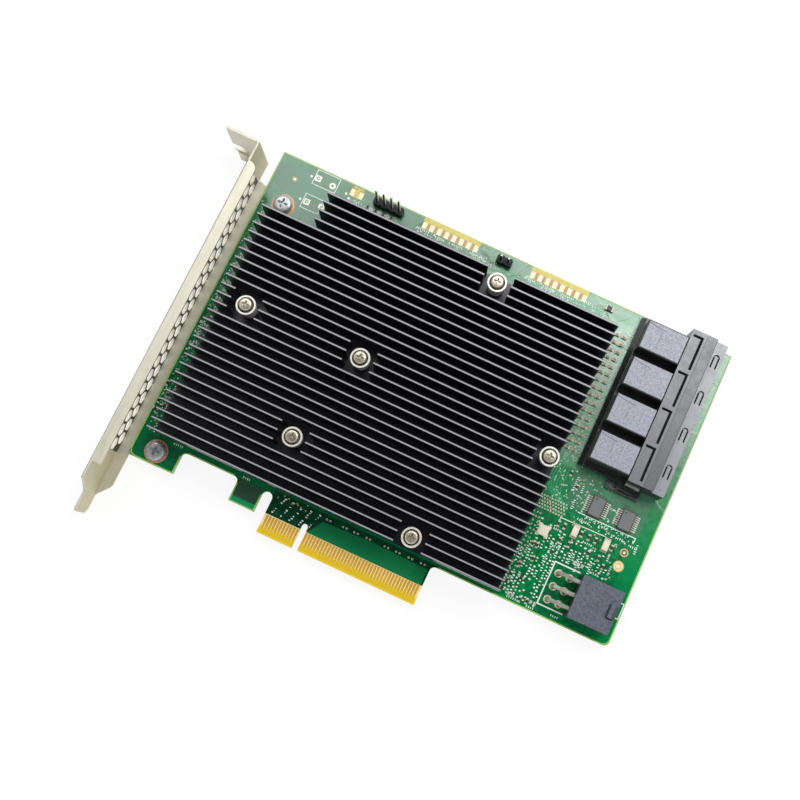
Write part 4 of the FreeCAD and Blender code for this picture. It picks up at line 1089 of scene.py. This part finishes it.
# ---- ports and power socket
def make_port_details():
    """Mould lines and gate notches of the port tops, the seams of the shell, painted shade in the shell's
    slits, the foot's edge.
    """
    lines = Shape()
    for port in PORTS:
        z = port.z1
        back = port.x0
        edge = [(0.4, 0.9), (2.0, 1.25), (4.0, 1.55), (6.2, 1.7)]
        lines.strip([(back + x, port.y1 - y) for x, y in edge], 0.13, z, z + 0.01)
        fold = [(5.0, 2.1), (5.2, 0.0), (5.0, -2.4)]
        lines.strip([(back + x, port.y + y) for x, y in fold], 0.06, z, z + 0.01)
        lines.block(port.x1 - 0.35, port.x1, port.y - 0.15, port.y + 0.55, z - 0.01, z + 0.01)
    z = SHELL.z1
    for seam, wide, inset in ((5.0, 0.1, 0.4), (SHELL_LIP, 0.12, 0.2)):
        x = SHELL.x0 + seam
        lines.block(x - wide, x, SHELL.y0 + inset, SHELL.y1 - inset, z, z + 0.008)
    lines.piece("port_mould_lines", [BLACK_PLASTIC], "grey_plastic")
    # black blocks in the latch slits and the U-slits: painted shade of the slits
    slits = Shape()
    floor = SHELL.z1 - 0.7
    x0 = SHELL.x0 + 0.75
    x1 = x0 + 3.3
    middle = SHELL.x1 - 1.95
    for port in PORTS:
        slits.block(x0, x1, port.y + 5.4, port.y + 6.2, floor, floor + 0.45)
        slits.block(x1 - 0.8, x1, port.y - 4.8, port.y + 5.4, floor, floor + 0.45)
        for side in (-1, 1):
            x = middle + side * 0.775
            slits.block(x - 0.22, x + 0.22, port.y - 0.6, port.y + 3.0, SHELL_LIP_Z - 0.7, SHELL_LIP_Z - 0.2)
    slits.piece("latch_slit_shade", [SLIT_SHADE], "grey_plastic")
    foot = Shape()
    z = 1.2
    edge = [(11.2, 1.5), (12.7, 0.7), (16.9, 1.2), (17.1, 2.2)]
    foot.strip([(BASE.x0 + x, BASE.y0 + y) for x, y in edge], 0.16, z, z + 0.03)
    foot.piece("foot_edge_line", [PORT_PLASTIC], "black_plastic")


def make_socket_details():
    """Keeper groove and the solder rings of the socket's pins."""
    groove = Shape()
    z = SOCKET.z1 - 0.9
    x = at(149.9)
    groove.strip([(x, 24.6), (x, 20.5), (x + 2.3, 20.5)], 0.34, z, z + 0.012)
    groove.piece("keeper_groove", [BLACK_PLASTIC], "slate_plastic")
    rings = Shape()
    for y in (18.4, 22.6, 26.8):
        for u in (133.35, 137.05):
            rings.land(at(u), y, 1.25, 0.8, z1=INK * 2, sides=24)
    rings.piece("power_pin_rings", [PAD_GOLD], "tin")


def make_header_details():
    """Solder rings round the pin headers, and dark bars below the 4-pin header as painted shadows of its
    pins.
    """
    shape = Shape()
    for node, count in (("jumper4_base", 4), ("jumper2_base", 2)):
        base = Extent(node)
        step = (base.x1 - base.x0) / count
        for k in range(count):
            x = base.x0 + step * (k + 0.5)
            shape.land(x, base.y, 0.95, 0.5, BOARD.z0 - INK, BOARD.z0, 20)
    # slot 1: dark bars below the 4-pin header, painted shadows of its pins
    shape.slot = 1
    half = 0.25
    for u in (31.6, 34.4, 37.1, 39.9):
        shape.mark(at(u) - half, at(u) + half, 105.3, 106.6)
    shape.piece("header_lands_and_pin_shadows", [TIN, BLACK_PLASTIC], "tin")


# ---- stage, light and camera
def make_stage():
    """Pale floor that shows white to the camera and keeps a soft shadow."""
    s = Shader("floor", roughness=0.9, specular=0.2)
    s.colour(s.noise(40.0), (240, 240, 240), (244, 244, 244))
    path = s.node("ShaderNodeLightPath")
    seen = s.math("MAXIMUM", path.outputs["Is Camera Ray"], path.outputs["Is Transmission Ray"])
    seen = s.math("MAXIMUM", seen, path.outputs["Is Glossy Ray"])
    glow = s.node("ShaderNodeEmission")
    s.feed(glow, "Color", srgb(*WHITE))
    s.feed(glow, "Strength", 1.0)
    mix = s.node("ShaderNodeMixShader")
    whiteness = 0.88
    s.feed(mix, 0, s.times(seen, whiteness))
    s.feed(mix, 1, s.bsdf.outputs[0])
    s.feed(mix, 2, glow.outputs[0])
    s.feed(s.tree.nodes["Material Output"], "Surface", mix.outputs[0])
    half = 3000.0
    z = CAD_BOUNDS[0].z / MM
    mesh = bpy.data.meshes.new("floor")
    corners = [(-half, -half, z), (half, -half, z), (half, half, z), (-half, half, z)]
    mesh.from_pydata([tuple(c * MM for c in p) for p in corners], [], [[0, 1, 2, 3]])
    mesh.materials.append(s.material)
    floor = add_object("floor", mesh)


def make_world():
    """Studio surround: bright at the horizon, dim overhead, and white where the camera sees it."""
    world = bpy.data.worlds.new("studio")
    world.use_nodes = True
    bpy.context.scene.world = world
    s = Nodes(world.node_tree)
    direction = s.node("ShaderNodeSeparateXYZ")
    s.feed(direction, 0, s.node("ShaderNodeTexCoord").outputs["Generated"])
    ramp = s.node("ShaderNodeValToRGB")
    s.feed(ramp, "Fac", direction.outputs["Z"])
    stops = ((0.0, 1.0), (0.3, 1.1), (0.6, 1.0), (0.88, 0.75), (0.975, 0.06))     # height and brightness
    while len(ramp.color_ramp.elements) < len(stops):
        ramp.color_ramp.elements.new(0.5)
    for element, (height, level) in zip(ramp.color_ramp.elements, stops):
        element.position = height
        element.color = (level, level, level, 1)
    path = s.node("ShaderNodeLightPath")
    seen = s.math("MAXIMUM", path.outputs["Is Camera Ray"], path.outputs["Is Transmission Ray"])
    s.feed(s.tree.nodes["Background"], "Color", s.blend(seen, ramp.outputs["Color"], WHITE))


def area_lamp(name, place, target, size, power):
    """Soft rectangular lamp that looks at a target; places in millimetres."""
    lamp = bpy.data.lights.new(name, "AREA")
    lamp.shape = "RECTANGLE"
    lamp.size = size[0] * MM
    lamp.size_y = size[1] * MM
    lamp.energy = power
    holder = add_object(name, lamp)
    holder.location = Vector(place) * MM
    holder.rotation_euler = (Vector(target) - Vector(place)).to_track_quat("-Z", "Y").to_euler()


def make_lights():
    """Two softboxes above the far side: place, target, size and power."""
    area_lamp("right_softbox", (155, 360, 600), (60, 80, 0), (360, 260), 2.1)
    area_lamp("left_softbox", (-205, 335, 600), (-20, 80, 0), (330, 280), 0.9)


def make_camera():
    """The photo's camera, from the fit: places in millimetres, angles in radians."""
    data = bpy.data.cameras.new("camera")
    data.sensor_width = 36.0
    data.lens = 49.5
    data.shift_x = -0.1
    data.clip_start = 10 * MM
    data.clip_end = 20.0
    camera = add_object("camera", data)
    camera.location = Vector((39.16, 9.50, 335.22)) * MM
    camera.rotation_euler = (0.15816, -0.04880, 0.43071)
    bpy.context.scene.camera = camera


dress_cad_nodes()
make_silkscreen()
make_board_rim()
make_pad_clusters()
make_column_marks()
make_edge_gold()
make_lands()
make_vias()
make_tracks()
make_small_parts()
make_clock_detail()
make_chip_details()
make_spring_screws()
make_bracket_screws()
make_port_details()
make_socket_details()
make_header_details()
make_stage()
make_world()
make_lights()
make_camera()
bpy.context.scene.view_settings.view_transform = "Standard"
